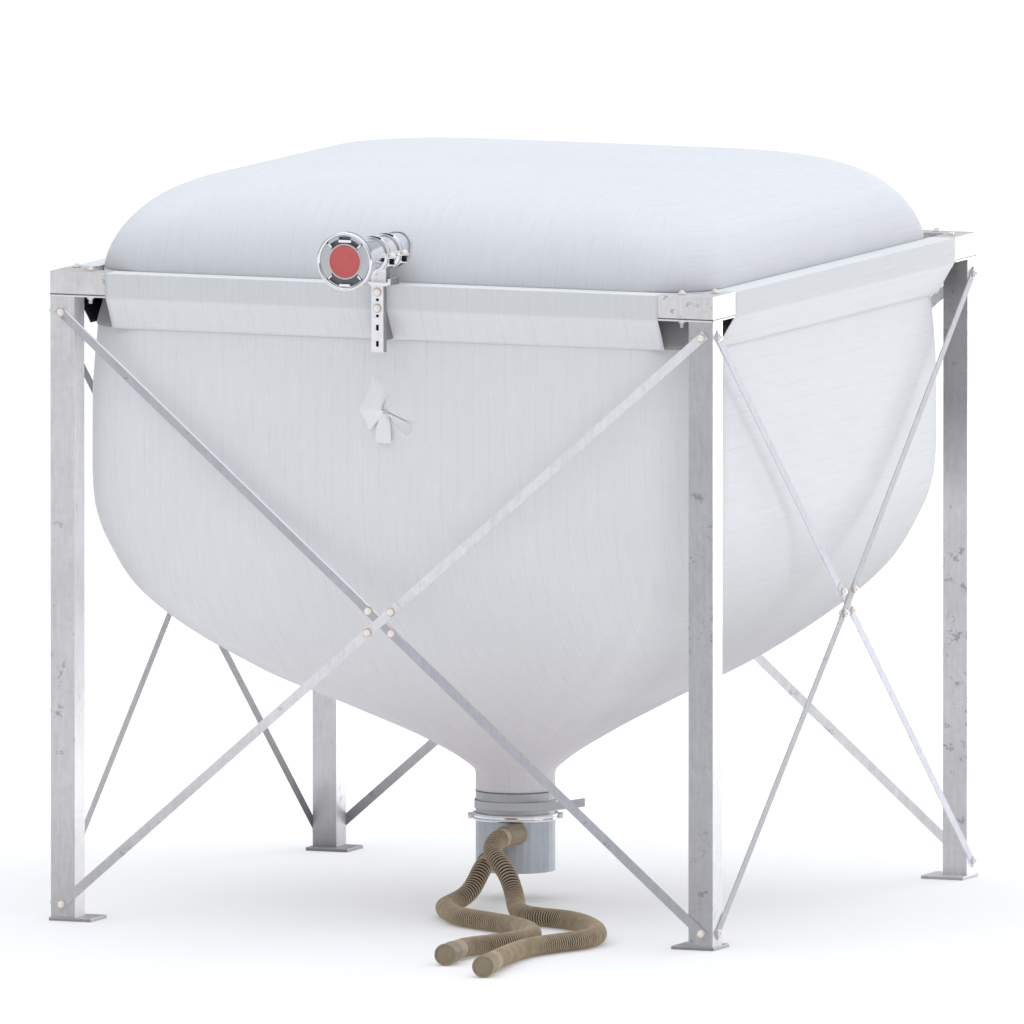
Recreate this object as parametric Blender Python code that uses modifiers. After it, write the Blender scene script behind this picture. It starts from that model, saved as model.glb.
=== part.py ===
"""Chip extraction silo: a fabric bag hung in a square steel frame.

Chips are blown in through a pipe at the front edge of the roof and sucked out through two hoses at the
foot of the hopper. Metres, +Z up, the floor at Z = 0. The origin is under the middle of the whole silo with
its fill pipe, so the bag's own axis stands a little behind it.
"""

import math

import bmesh
import bpy
import numpy as np
from mathutils import Matrix, Vector

# Clearances between pieces that touch
TOUCH = 0.0003
SEAM = 0.0014

# Frame: square posts on plates, with box beams round the top
FRAME_HALF = 1.100
POST_WIDTH = 0.080
POST_WALL = 0.004
BASE_PLATE = (0.140, 0.130, 0.010)
BASE_PLATE_PROUD = 0.005
VENT_RADIUS = 0.012
HEAD_PLATE_ARMS = (0.165, 0.134)
HEAD_PLATE_TOP = 1.941
HEAD_PLATE_THICKNESS = 0.005
BEAM_WIDTH = 0.073
BEAM_HEIGHT = 0.069
BEAM_WALL = 0.003
BRACKET_ARM = 0.183
BRACKET_SHEET = 0.003
BRACKET_TOP = 2.0140
BOLT_FROM_CORNER = 0.118

# Hexagon bolts
BOLT_HEX_RADIUS = 0.0105
BOLT_HEX_HEIGHT = 0.008
BOLT_STUD_RADIUS = 0.006
BOLT_STUD_HEIGHT = 0.013
BOLT_HOLD = 0.001
HANGING_STUD = 0.022
LAP_STUD = 0.012

# Flat braces, one cross on each side, each diagonal in two straps lapped at the crossing
STRAP_WIDTH = 0.029
STRAP_THICKNESS = 0.003
STRAP_BITE = 0.0001
BRACE_BOLT_INSET = 0.037
BRACE_LOW = 0.052
BRACE_HIGH = 1.888
STRAP_END = 0.016
STRAP_LAP = 0.084
LAP_BOLT = 0.051

# Bag: half widths of its rounded square sections, from the roof's edge down to the neck
BAG_PROFILE = (
    (2.0105, 1.0234),
    (1.9350, 1.0234),
    (1.8400, 1.0400),
    (1.6000, 1.0540),
    (1.4000, 1.0540),
    (1.3000, 1.0495),
    (1.2200, 1.0350),
    (1.1400, 1.0068),
    (1.0400, 0.9605),
    (0.9350, 0.8780),
    (0.7440, 0.6510),
    (0.6020, 0.4100),
    (0.5000, 0.2430),
    (0.4340, 0.1570),
    (0.3950, 0.1240),
    (0.3350, 0.1240),
)
BAG_SHEET = 0.005
CORNER_RADIUS = 0.215
NECK_RADIUS = 0.124
HOPPER_TOP = 1.150
HOPPER_SEAT = 0.0006
WALL_HEIGHTS = (1.935, 1.840, 1.740, 1.600, 1.450, 1.340, 1.260, 1.200)
HOPPER_HEIGHTS = (1.090, 1.020, 0.935, 0.840, 0.740, 0.640, 0.560, 0.490, 0.440, 0.4165)
NECK_TOP = 0.400
NECK_BOTTOM = 0.336
ROOF_BASE = 2.0105
ROOF_SEAT = 0.0018
ROOF_RISE = 0.289
ROOF_SQUARENESS = 8.1
ROOF_SHOULDER = 0.633
ROOF_RINGS = 12
ROOF_ROUNDING = 0.95
SIDE_STEPS = 4
CORNER_STEPS = 4

# Fabric sleeve round each beam, ending at the corner brackets
SLEEVE_SHEET = 0.0027
SLEEVE_TOP = 2.0135
SLEEVE_FACE_LOW = 1.940
SLEEVE_SLOPE_LOW = 1.838
SLEEVE_SLOPE_IN = 1.0428

# Fill inlet at the front edge of the roof
INLET_HEIGHT = 2.110
INLET_FACE = 1.396
PIPE_RADIUS = 0.052
PIPE_BORE = 0.049
PIPE_END = 0.900
COUPLING_RADIUS = 0.091
COUPLING_DEPTH = 0.026
COUPLING_LIP = 0.006
CAP_RADIUS = 0.0505
CAP_DEPTH = 0.008
NECK_FLARE = 0.066
FLARE_STRAIGHT = 0.030
FLARE_LENGTH = 0.085
CLAMP_PLACES = (1.165, 1.065)
CLAMP_WIDTH = 0.028
CLAMP_SHEET = 0.004
CLAMP_BITE = 0.001
CLAMP_EAR_LOW = -0.030
CLAMP_EAR_HIGH = -0.004
CLAMP_EAR_REACH = 0.020
CLAMP_EAR_INSET = 0.002
CLAMP_BOLT_RADIUS = 0.006
CLAMP_BOLT_PAST = 0.011
STRUT_WIDTH = 0.040
STRUT_DEPTH = 0.026
STRUT_SHEET = 0.003
STRUT_LOW = 1.806
STRUT_HIGH = 2.012
STRUT_HOLES = (1.968, 1.918)
STRUT_HOLE_RADIUS = 0.005
STRUT_SLOTS = (1.882, 1.832)
STRUT_SLOT = (0.009, 0.018)
STRUT_BOLTS = (1.992, 1.942)
STRUT_STUD = 0.010
STRUT_BITE = 0.001
LIP_PROUD = (0.004, 0.014)
LIP_DEPTH = 0.050
LIP_THICKNESS = 0.006
SADDLE_WIDTH = 0.050
SADDLE_INSET = 0.010
SADDLE_GAP = 0.006
SADDLE_DROP = 0.038
GUSSET_THICKNESS = 0.003
GUSSET_INSET = 0.004
GUSSET_CORNER = (0.010, 0.006)

# Outlet at the foot of the hopper
OUTLET_RADIUS = 0.1234
OUTLET_SHEET = 0.003
SPIGOT_TOP = 0.376
SPIGOT_BOTTOM = 0.259
COLLAR_TOP = 0.2586
COLLAR_BOTTOM = 0.089
RING_RADIUS = 0.1365
RING_LOW = 0.2475
RING_HIGH = 0.2700
RING_ROUNDING = 0.006
RING_TURN = 22.0
LUG_REACH = 0.010
LUG_SIZE = (0.032, 0.016)
LUG_SHAFT_RADIUS = 0.005
LUG_SHAFT_LENGTH = 0.052
BELT_LOW = 0.284
BELT_HEIGHT = 0.026
BELT_SHEET = 0.0025
BELT_TAIL = 0.215
BELT_TAIL_RISE = 0.016
BELT_LEAVES_AT = -68.0
BELT_STARTS_AFTER = 22.0
BELT_STEPS = 36
TAIL_STEPS = 5

# Suction hoses, lying free on the floor in front of the outlet. Each route is read off the smooth curve
# that its points steer, and starts 0.3 mm off the collar's stub.
HOSE_RADIUS = 0.030
STUB_RADIUS = 0.0295
STUB_BORE = 0.026
STUB_LENGTH = 0.070
CUFF_RADIUS = 0.034
CUFF_BORE = 0.027
CUFF_LENGTH = 0.100
CUFF_BORE_DEPTH = 0.060
HOSE_SPACING = 0.110
FLOOR_HOSE = 0.0307
FLOOR_CUFF = 0.0346
ROUTE_LEFT = (
    (-0.019, -0.151, 0.137),
    (-0.008, -0.262, 0.123),
    (-0.002, -0.351, 0.053),
    (-0.025, -0.460, FLOOR_HOSE),
    (-0.012, -0.572, FLOOR_HOSE),
    (0.053, -0.665, FLOOR_HOSE),
    (0.109, -0.764, FLOOR_HOSE),
    (0.200, -0.830, FLOOR_HOSE),
    (0.299, -0.886, FLOOR_HOSE),
    (0.390, -0.953, FLOOR_HOSE),
    (0.464, -1.039, FLOOR_HOSE),
    (0.524, -1.136, FLOOR_HOSE),
    (0.548, -1.246, FLOOR_HOSE),
    (0.529, -1.358, FLOOR_HOSE),
    (0.485, -1.462, FLOOR_HOSE),
    (0.465, -1.574, FLOOR_CUFF),
    (0.480, -1.686, FLOOR_CUFF),
)
ROUTE_RIGHT = (
    (0.048, -0.143, 0.214),
    (0.034, -0.262, 0.213),
    (0.068, -0.370, 0.175),
    (0.154, -0.444, 0.140),
    (0.210, -0.513, 0.059),
    (0.255, -0.620, FLOOR_HOSE),
    (0.346, -0.698, FLOOR_HOSE),
    (0.464, -0.722, FLOOR_HOSE),
    (0.552, -0.803, FLOOR_HOSE),
    (0.622, -0.901, FLOOR_HOSE),
    (0.682, -1.004, FLOOR_HOSE),
    (0.725, -1.116, FLOOR_HOSE),
    (0.719, -1.236, FLOOR_HOSE),
    (0.670, -1.346, FLOOR_HOSE),
    (0.639, -1.462, FLOOR_HOSE),
    (0.643, -1.582, FLOOR_HOSE),
    (0.657, -1.701, FLOOR_HOSE),
    (0.680, -1.819, FLOOR_CUFF),
    (0.702, -1.937, FLOOR_CUFF),
)

# Tied fabric spout on the front wall
SPOUT_TIE = (-0.004, 1.620)
SPOUT_BACK = 1.0546
SPOUT_ROOM = 0.2
SPOUT_LOBE = (-0.044, 0.012)
SPOUT_LOBE_RADII = (0.048, 0.036, 0.082)
SPOUT_TAIL = ((0.0, 0.012), (-0.004, -0.104))
SPOUT_TAIL_RADII = (0.012, 0.030)
SPOUT_FLAP = (0.052, -0.020)
SPOUT_FLAP_RADII = (0.062, 0.016, 0.026)

# Sides of the round pieces, from the largest to the smallest
ROUND_STEPS = 32
STUB_STEPS = 20
HOLE_STEPS = 16
STUD_STEPS = 8
CURVE_STEPS = 20
HOSE_BEVEL_STEPS = 3
HEXAGON = 6
BALL_STEPS = (16, 10)

SIDES = ("front", "right", "back", "left")
CORNERS = {
    "front_left": (-1, -1),
    "front_right": (1, -1),
    "back_right": (1, 1),
    "back_left": (-1, 1),
}

# What the frame's dimensions give
POST_MID = FRAME_HALF - POST_WIDTH / 2
HEAD_PLATE_LOW = HEAD_PLATE_TOP - HEAD_PLATE_THICKNESS
BEAM_OUT = FRAME_HALF - 0.003
BEAM_LOW = HEAD_PLATE_TOP + TOUCH
BEAM_HIGH = BEAM_LOW + BEAM_HEIGHT
STRAP_FACE = FRAME_HALF + TOUCH
CROSSING_LAYERS = 4
BRACE_REACH = STRAP_FACE + CROSSING_LAYERS * STRAP_THICKNESS + TOUCH + BOLT_STUD_HEIGHT
AXIS_Y = (INLET_FACE - BRACE_REACH) / 2

for leftover in list(bpy.data.objects):
    bpy.data.objects.remove(leftover)

silo = bpy.data.collections.new("chip_extraction_silo")
cutters = bpy.data.collections.new("cutters")
for collection in (silo, cutters):
    bpy.context.scene.collection.children.link(collection)

axis = bpy.data.objects.new("silo_axis", None)
silo.objects.link(axis)
axis.location = (0, AXIS_Y, 0)


def make_material(name, colour, roughness, metallic):
    made = bpy.data.materials.new(name)
    made.use_nodes = True
    shader = made.node_tree.nodes["Principled BSDF"]
    shader.inputs["Base Color"].default_value = (*colour, 1)
    shader.inputs["Roughness"].default_value = roughness
    shader.inputs["Metallic"].default_value = metallic
    return made


FABRIC = ((0.80, 0.82, 0.83), 0.85, 0.0)
GALVANISED = ((0.62, 0.63, 0.65), 0.45, 0.9)
POLISHED = ((0.80, 0.80, 0.82), 0.15, 1.0)
BRUSHED = ((0.60, 0.61, 0.63), 0.35, 1.0)
DARK = ((0.16, 0.16, 0.17), 0.5, 0.6)
RED = ((0.52, 0.11, 0.11), 0.5, 0.0)
HOSE = ((0.42, 0.35, 0.26), 0.6, 0.0)


def place(made, parent, location=(0, 0, 0), rotation=(0, 0, 0)):
    """Parents an object and sets its place under that parent."""
    made.parent = parent
    made.location = location
    made.rotation_euler = rotation
    return made


def add_part(name, mesh, finish):
    """A named sub-part of the silo with its own material."""
    made = bpy.data.objects.new(name, mesh)
    silo.objects.link(made)
    mesh.materials.clear()
    mesh.materials.append(make_material(name, *finish))
    return place(made, axis)


def add_cutter(name, mesh):
    made = bpy.data.objects.new(name, mesh)
    cutters.objects.link(made)
    made.hide_render = True
    made.display_type = "WIRE"
    return place(made, axis)


def finish_mesh(name, built):
    mesh = bpy.data.meshes.new(name)
    built.to_mesh(mesh)
    built.free()
    return mesh


def box_mesh(name, low, high):
    """A box between two corners, which may come in either order."""
    lows = np.minimum(low, high)
    highs = np.maximum(low, high)
    size = Matrix.Diagonal((*(highs - lows), 1))
    built = bmesh.new()
    bmesh.ops.create_cube(built, size=1, matrix=Matrix.Translation((lows + highs) / 2) @ size)
    return finish_mesh(name, built)


def rod_mesh(name, start, end, radius, end_radius=None, sides=ROUND_STEPS):
    """A cylinder, cone or prism from one point to another."""
    start, end = Vector(start), Vector(end)
    along = end - start
    turn = along.to_track_quat("Z", "Y").to_matrix().to_4x4()
    built = bmesh.new()
    bmesh.ops.create_cone(
        built,
        cap_ends=True,
        segments=sides,
        radius1=radius,
        radius2=radius if end_radius is None else end_radius,
        depth=along.length,
        matrix=Matrix.Translation((start + end) / 2) @ turn,
    )
    return finish_mesh(name, built)


def ball_mesh(name, centre, radii):
    built = bmesh.new()
    stretch = Matrix.Diagonal((*radii, 1))
    bmesh.ops.create_uvsphere(
        built,
        u_segments=BALL_STEPS[0],
        v_segments=BALL_STEPS[1],
        radius=1,
        matrix=Matrix.Translation(centre) @ stretch,
    )
    return finish_mesh(name, built)


def bake(made):
    """Puts an object's modifiers into its mesh."""
    bpy.context.view_layer.update()
    seen = made.evaluated_get(bpy.context.evaluated_depsgraph_get())
    mesh = bpy.data.meshes.new_from_object(seen)
    made.modifiers.clear()
    made.data = mesh


def combine(made, tools, operation):
    """Joins solids to an object, or cuts them out of it, and removes them."""
    for tool in tools:
        modifier = made.modifiers.new(operation.lower(), "BOOLEAN")
        modifier.operation = operation
        modifier.object = tool
        bake(made)
        bpy.data.objects.remove(tool)
    return made


def join(made, *meshes):
    return combine(made, [add_cutter("tool", mesh) for mesh in meshes], "UNION")


def cut(made, *meshes):
    return combine(made, [add_cutter("tool", mesh) for mesh in meshes], "DIFFERENCE")


def bolt(made, seat, out, reach=BOLT_STUD_HEIGHT, hold=BOLT_HOLD):
    """Joins a hexagon nut and its stud end to a part, at a point on its face."""
    seat, out = Vector(seat), Vector(out)
    root = seat - out * hold
    join(
        made,
        rod_mesh("hexagon", root, seat + out * BOLT_HEX_HEIGHT, BOLT_HEX_RADIUS, sides=HEXAGON),
        rod_mesh("stud", root, seat + out * reach, BOLT_STUD_RADIUS, sides=STUD_STEPS),
    )


def turned(name, profile, finish, steps=ROUND_STEPS):
    """A ring turned about Z from a closed outline of radius and height, outer side first, from the top."""
    mesh = bpy.data.meshes.new(name)
    count = len(profile)
    edges = [(i, (i + 1) % count) for i in range(count)]
    mesh.from_pydata([(radius, 0, height) for radius, height in profile], edges, [])
    made = add_part(name, mesh, finish)
    screw = made.modifiers.new("turn", "SCREW")
    screw.steps = steps
    screw.render_steps = steps
    screw.use_merge_vertices = True
    screw.merge_threshold = 0.0001
    screw.use_normal_calculate = False
    bake(made)
    return made


def round_clear(radius, sides=ROUND_STEPS):
    """The radius of a faceted hole whose flats clear a round piece of the given radius."""
    return (radius + TOUCH) / math.cos(math.pi / sides)


def tube_outline(outer, inner, low, high):
    return ((outer, high), (outer, low), (inner, low), (inner, high))


def smooth(made, angle=40):
    made.data.shade_smooth()
    made.data.set_sharp_from_angle(angle=math.radians(angle))
    return made


def side_turn(index):
    """The turn that carries a piece of the front side to another side."""
    return (0, 0, math.radians(90 * index))


# Frame


def corner_box(signs, out_x, out_y, heights):
    """A box at one corner, given by how far each face stands out from the axis."""
    low = (signs[0] * out_x[0], signs[1] * out_y[0], heights[0])
    high = (signs[0] * out_x[1], signs[1] * out_y[1], heights[1])
    return box_mesh("corner_box", low, high)


def make_leg(corner, signs):
    """A square post with its foot plate, its L-shaped head plate and the nuts below that."""
    post = (FRAME_HALF - POST_WIDTH, FRAME_HALF)
    bore = (post[0] + POST_WALL, post[1] - POST_WALL)
    plate_out = FRAME_HALF + BASE_PLATE_PROUD
    plate_x = (plate_out - BASE_PLATE[0], plate_out)
    plate_y = (plate_out - BASE_PLATE[1], plate_out)
    head = (HEAD_PLATE_LOW, HEAD_PLATE_TOP)
    arm_x = (FRAME_HALF - HEAD_PLATE_ARMS[0], FRAME_HALF - TOUCH)
    arm_y = (FRAME_HALF - HEAD_PLATE_ARMS[1], FRAME_HALF - TOUCH)
    width = (FRAME_HALF - POST_WIDTH + TOUCH, FRAME_HALF - TOUCH)
    leg = add_part(
        "leg_" + corner,
        corner_box(signs, post, post, (BASE_PLATE[2] / 2, HEAD_PLATE_LOW + HEAD_PLATE_THICKNESS / 2)),
        GALVANISED,
    )
    join(
        leg,
        corner_box(signs, plate_x, plate_y, (0, BASE_PLATE[2])),
        corner_box(signs, arm_x, width, head),
        corner_box(signs, width, arm_y, (head[0] + TOUCH, head[1] - TOUCH)),
    )
    middle = (signs[0] * POST_MID, signs[1] * POST_MID)
    cut(
        leg,
        corner_box(signs, bore, bore, (BASE_PLATE[2], HEAD_PLATE_LOW)),
        rod_mesh("vent", (*middle, -POST_WIDTH), (*middle, POST_WIDTH), VENT_RADIUS, sides=HOLE_STEPS),
    )
    far = FRAME_HALF - BOLT_FROM_CORNER
    for x, y in ((far, POST_MID), (POST_MID, far - TOUCH)):
        bolt(leg, (signs[0] * x, signs[1] * y, HEAD_PLATE_LOW), (0, 0, -1), reach=HANGING_STUD)
    return leg


def make_bracket(corner, signs):
    """A folded cover over the beams' corner: an L on top, a skirt down both outer faces, and two bolts."""
    outer = FRAME_HALF + TOUCH
    skin = outer - BRACKET_SHEET
    inner = FRAME_HALF - POST_WIDTH + BAG_SHEET
    arm = outer - BRACKET_ARM
    top = (BRACKET_TOP - BRACKET_SHEET, BRACKET_TOP)
    skirt = (BEAM_LOW, BRACKET_TOP - BRACKET_SHEET / 2)
    bracket = add_part(
        "bracket_" + corner, corner_box(signs, (arm, outer), (inner, outer), top), GALVANISED
    )
    join(
        bracket,
        corner_box(signs, (inner, outer), (arm, outer), top),
        corner_box(signs, (arm, outer), (skin, outer), skirt),
        corner_box(signs, (skin, outer), (arm, outer), skirt),
    )
    far = FRAME_HALF - BOLT_FROM_CORNER
    for x, y in ((far, POST_MID), (POST_MID, far)):
        bolt(bracket, (signs[0] * x, signs[1] * y, BRACKET_TOP), (0, 0, 1))
    return bracket


def make_beam(side, index):
    """A box beam along one side. The front and back beams run through, and the others stand between."""
    through = index % 2 == 0
    outer = BEAM_OUT
    inner = outer - BEAM_WIDTH
    end = outer if through else inner - TOUCH
    beam = add_part(
        "beam_" + side,
        box_mesh("beam", (-end, -outer, BEAM_LOW), (end, -inner, BEAM_HIGH)),
        GALVANISED,
    )
    past = end + POST_WIDTH
    cut(
        beam,
        box_mesh(
            "bore",
            (-past, BEAM_WALL - outer, BEAM_LOW + BEAM_WALL),
            (past, -inner - BEAM_WALL, BEAM_HIGH - BEAM_WALL),
        ),
    )
    return place(beam, axis, rotation=side_turn(index))


def strap(name, start, end, depth_start, depth_end):
    """A flat bar between two points of a side, given in that side's width and height, with its depths."""
    foot = Vector((start[0], -depth_start, start[1]))
    head = Vector((end[0], -depth_end, end[1]))
    along = (head - foot).normalized()
    across = along.cross(Vector((0, -1, 0))).normalized()
    out = across.cross(along)
    turn = Matrix((along, across, out)).transposed().to_4x4()
    size = Matrix.Diagonal(((head - foot).length, STRAP_WIDTH, STRAP_THICKNESS, 1))
    middle = (foot + head) / 2 + out * STRAP_THICKNESS / 2
    built = bmesh.new()
    bmesh.ops.create_cube(built, size=1, matrix=Matrix.Translation(middle) @ turn @ size)
    return finish_mesh(name, built)


def brace_mesh(lean, layer):
    """One diagonal, which rises to the right when lean is 1. layer is how far out its crossing lies."""
    reach = FRAME_HALF - BRACE_BOLT_INSET
    low = Vector((-lean * reach, BRACE_LOW))
    high = Vector((lean * reach, BRACE_HIGH))
    along = (high - low).normalized()
    middle = (low + high) / 2
    lap_low = middle - along * STRAP_LAP
    lap_high = middle + along * STRAP_LAP
    inner = STRAP_FACE + layer
    outer = inner + STRAP_THICKNESS - STRAP_BITE
    end_low = low - along * STRAP_END
    end_high = high + along * STRAP_END
    brace = add_part("brace", strap("strap", lap_low, end_high, inner, STRAP_FACE), GALVANISED)
    join(brace, strap("strap", end_low, lap_high, STRAP_FACE, outer))
    for place_2d in (low, high):
        face = STRAP_FACE + STRAP_THICKNESS
        bolt(brace, (place_2d.x, -face, place_2d.y), (0, -1, 0))
    for step in (-LAP_BOLT, LAP_BOLT):
        spot = middle + along * step
        bolt(brace, (spot.x, -outer - STRAP_THICKNESS, spot.y), (0, -1, 0), hold=STRAP_THICKNESS * 1.5)
        bolt(brace, (spot.x, -inner, spot.y), (0, 1, 0), reach=LAP_STUD)
    mesh = brace.data
    bpy.data.objects.remove(brace)
    return mesh


def make_braces():
    """Two crossed diagonals on each side. The one that rises to the right lies on top."""
    under = brace_mesh(-1, 0)
    over = brace_mesh(1, 2 * STRAP_THICKNESS + TOUCH)
    for index, side in enumerate(SIDES):
        for label, mesh in (("inner", under), ("outer", over)):
            brace = add_part("brace_" + side + "_" + label, mesh.copy(), GALVANISED)
            place(brace, axis, rotation=side_turn(index))


# Bag


def bag_half(height):
    """Half width of the bag at a height, on a smooth curve through its profile's points."""
    heights = np.array([row[0] for row in BAG_PROFILE])[::-1]
    halves = np.array([row[1] for row in BAG_PROFILE])[::-1]
    slopes = np.diff(halves) / np.diff(heights)
    tangents = np.zeros(len(halves))
    tangents[1:-1] = [
        2 * a * b / (a + b) if a * b > 0 else 0 for a, b in zip(slopes[:-1], slopes[1:], strict=True)
    ]
    i = int(np.clip(np.searchsorted(heights, height) - 1, 0, len(slopes) - 1))
    span = heights[i + 1] - heights[i]
    t = (height - heights[i]) / span
    return (
        (1 + 2 * t) * (1 - t) ** 2 * halves[i]
        + t * (1 - t) ** 2 * span * tangents[i]
        + t * t * (3 - 2 * t) * halves[i + 1]
        + t * t * (t - 1) * span * tangents[i + 1]
    )


def corner_radius(half):
    """The bag's corners stay round to the neck, where its section is a circle."""
    share = max(0, half - NECK_RADIUS) / (BAG_PROFILE[3][1] - NECK_RADIUS)
    return min(half, NECK_RADIUS + (CORNER_RADIUS - NECK_RADIUS) * math.sqrt(share))


def side_section(half, radius, height, trim=0.0):
    """One side of a rounded square, from the middle of its left corner to the middle of its right one."""
    flat = half - radius
    points = []
    for step in range(CORNER_STEPS + 1):
        angle = math.radians(225 + 45 * step / CORNER_STEPS)
        points.append((-flat + radius * math.cos(angle), -flat + radius * math.sin(angle)))
    for step in range(1, SIDE_STEPS):
        points.append((flat * (2 * step / SIDE_STEPS - 1), -half))
    for step in range(CORNER_STEPS + 1):
        angle = math.radians(270 + 45 * step / CORNER_STEPS)
        points.append((flat + radius * math.cos(angle), -flat + radius * math.sin(angle)))
    if trim:
        back = trim / math.sqrt(2)
        points[0] = (points[0][0] + back, points[0][1] - back)
        points[-1] = (points[-1][0] - back, points[-1][1] - back)
    return [(x, y, height) for x, y in points]


def loft(name, rows, finish, closed=False, sheet=BAG_SHEET):
    """A fabric shell through rows of points from top to bottom, given its thickness inwards."""
    built = bmesh.new()
    grid = [[built.verts.new(point) for point in row] for row in rows]
    count = len(rows[0])
    for upper, lower in zip(grid[:-1], grid[1:], strict=True):
        for i in range(count if closed else count - 1):
            j = (i + 1) % count
            built.faces.new((upper[i], lower[i], lower[j], upper[j]))
    made = add_part(name, finish_mesh(name, built), finish)
    thicken(made, sheet)
    return made


def thicken(made, sheet):
    solidify = made.modifiers.new("sheet", "SOLIDIFY")
    solidify.thickness = sheet
    solidify.offset = -1
    solidify.use_even_offset = True
    bake(made)


def panel_rows(heights):
    halves = [bag_half(height) for height in heights]
    return [
        side_section(half, corner_radius(half), height, SEAM / 2)
        for half, height in zip(halves, heights, strict=True)
    ]


def make_walls():
    """Four upright panels, from the roof's edge to the top of the hopper."""
    heights = (ROOF_BASE - TOUCH, *WALL_HEIGHTS, HOPPER_TOP)
    for index, side in enumerate(SIDES):
        wall = smooth(loft("wall_" + side, panel_rows(heights), FABRIC))
        place(wall, axis, rotation=side_turn(index))


def make_hopper():
    """Four gores that draw the bag in to the neck."""
    heights = (HOPPER_TOP - HOPPER_SEAT, *HOPPER_HEIGHTS, NECK_TOP)
    for index, side in enumerate(SIDES):
        gore = smooth(loft("hopper_" + side, panel_rows(heights), FABRIC))
        place(gore, axis, rotation=side_turn(index))


def make_roof():
    """The blown-up roof of the bag, open where the fill pipe goes in."""
    shares = [math.sin(math.radians(90 * step / ROOF_RINGS)) for step in range(1, ROOF_RINGS + 1)]
    rows = []
    for share in shares:
        half = share * BAG_PROFILE[0][1]
        rise = ROOF_RISE * (1 - share**ROOF_SQUARENESS) ** ROOF_SHOULDER
        roundness = corner_radius(BAG_PROFILE[0][1]) / BAG_PROFILE[0][1]
        roundness += (1 - roundness) * (1 - share) ** ROOF_ROUNDING
        ring = []
        for index in range(len(SIDES)):
            turn = Matrix.Rotation(math.radians(90 * index), 3, "Z")
            side = side_section(half, half * roundness, ROOF_BASE + ROOF_SEAT + rise)
            ring += [turn @ Vector(point) for point in side[:-1]]
        rows.append(ring)
    built = bmesh.new()
    grid = [[built.verts.new(point) for point in row] for row in rows]
    crown = built.verts.new((0, 0, ROOF_BASE + ROOF_RISE))
    count = len(rows[0])
    for i in range(count):
        built.faces.new((crown, grid[0][i], grid[0][(i + 1) % count]))
    for upper, lower in zip(grid[:-1], grid[1:], strict=True):
        for i in range(count):
            j = (i + 1) % count
            built.faces.new((upper[i], lower[i], lower[j], upper[j]))
    roof = add_part("roof", finish_mesh("roof", built), FABRIC)
    thicken(roof, BAG_SHEET)
    hole = round_clear(PIPE_RADIUS)
    cut(roof, rod_mesh("pipe_hole", (0, -INLET_FACE, INLET_HEIGHT), (0, 0, INLET_HEIGHT), hole))
    return smooth(roof)


def make_sleeves():
    """A fabric sleeve over each beam: a flat top, an upright face and a slope back to the wall."""
    end = FRAME_HALF + TOUCH - BRACKET_ARM - TOUCH * 2
    outline = (
        (BAG_PROFILE[0][1] + 2 * TOUCH, SLEEVE_TOP),
        (FRAME_HALF + TOUCH, SLEEVE_TOP),
        (FRAME_HALF + TOUCH, SLEEVE_FACE_LOW),
        (SLEEVE_SLOPE_IN, SLEEVE_SLOPE_LOW),
    )
    rows = [[(-end, -out, height), (end, -out, height)] for out, height in outline]
    for index, side in enumerate(SIDES):
        sleeve = loft("sleeve_" + side, rows, FABRIC, sheet=SLEEVE_SHEET)
        place(sleeve, axis, rotation=side_turn(index))


def make_neck():
    outline = tube_outline(NECK_RADIUS, NECK_RADIUS - OUTLET_SHEET, NECK_BOTTOM, NECK_TOP - TOUCH)
    smooth(turned("neck", outline, FABRIC))


def make_spout():
    """A spare spout of the bag, gathered and tied on the front wall: a puffed lobe, a fanned tail, a flap."""
    tie_x, tie_z = SPOUT_TIE
    back = -SPOUT_BACK

    def at(offset):
        return (tie_x + offset[0], back, tie_z + offset[1])

    spout = add_part("tied_spout", ball_mesh("lobe", at(SPOUT_LOBE), SPOUT_LOBE_RADII), FABRIC)
    join(
        spout,
        rod_mesh("tail", at(SPOUT_TAIL[0]), at(SPOUT_TAIL[1]), *SPOUT_TAIL_RADII, sides=HOLE_STEPS),
        ball_mesh("flap", at(SPOUT_FLAP), SPOUT_FLAP_RADII),
    )
    low = (tie_x - SPOUT_ROOM, back - TOUCH, tie_z - SPOUT_ROOM)
    high = (tie_x + SPOUT_ROOM, back + SPOUT_ROOM, tie_z + SPOUT_ROOM)
    cut(spout, box_mesh("wall_space", low, high))
    smooth(spout)


# Fill inlet


def along_inlet(name, outline, finish):
    """A ring on the fill pipe, from radii and distances in front of the silo's axis."""
    made = turned(name, outline, finish)
    place(made, axis, (0, 0, INLET_HEIGHT), (math.radians(90), 0, 0))
    return smooth(made)


def make_inlet_pipe():
    """The pipe and the flared neck behind the coupling."""
    front = INLET_FACE - COUPLING_DEPTH - TOUCH
    outline = (
        (NECK_FLARE, front),
        (NECK_FLARE, front - FLARE_STRAIGHT),
        (PIPE_RADIUS, front - FLARE_LENGTH),
        (PIPE_RADIUS, PIPE_END),
        (PIPE_BORE, PIPE_END),
        (PIPE_BORE, front),
    )
    along_inlet("inlet_pipe", outline, POLISHED)


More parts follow.
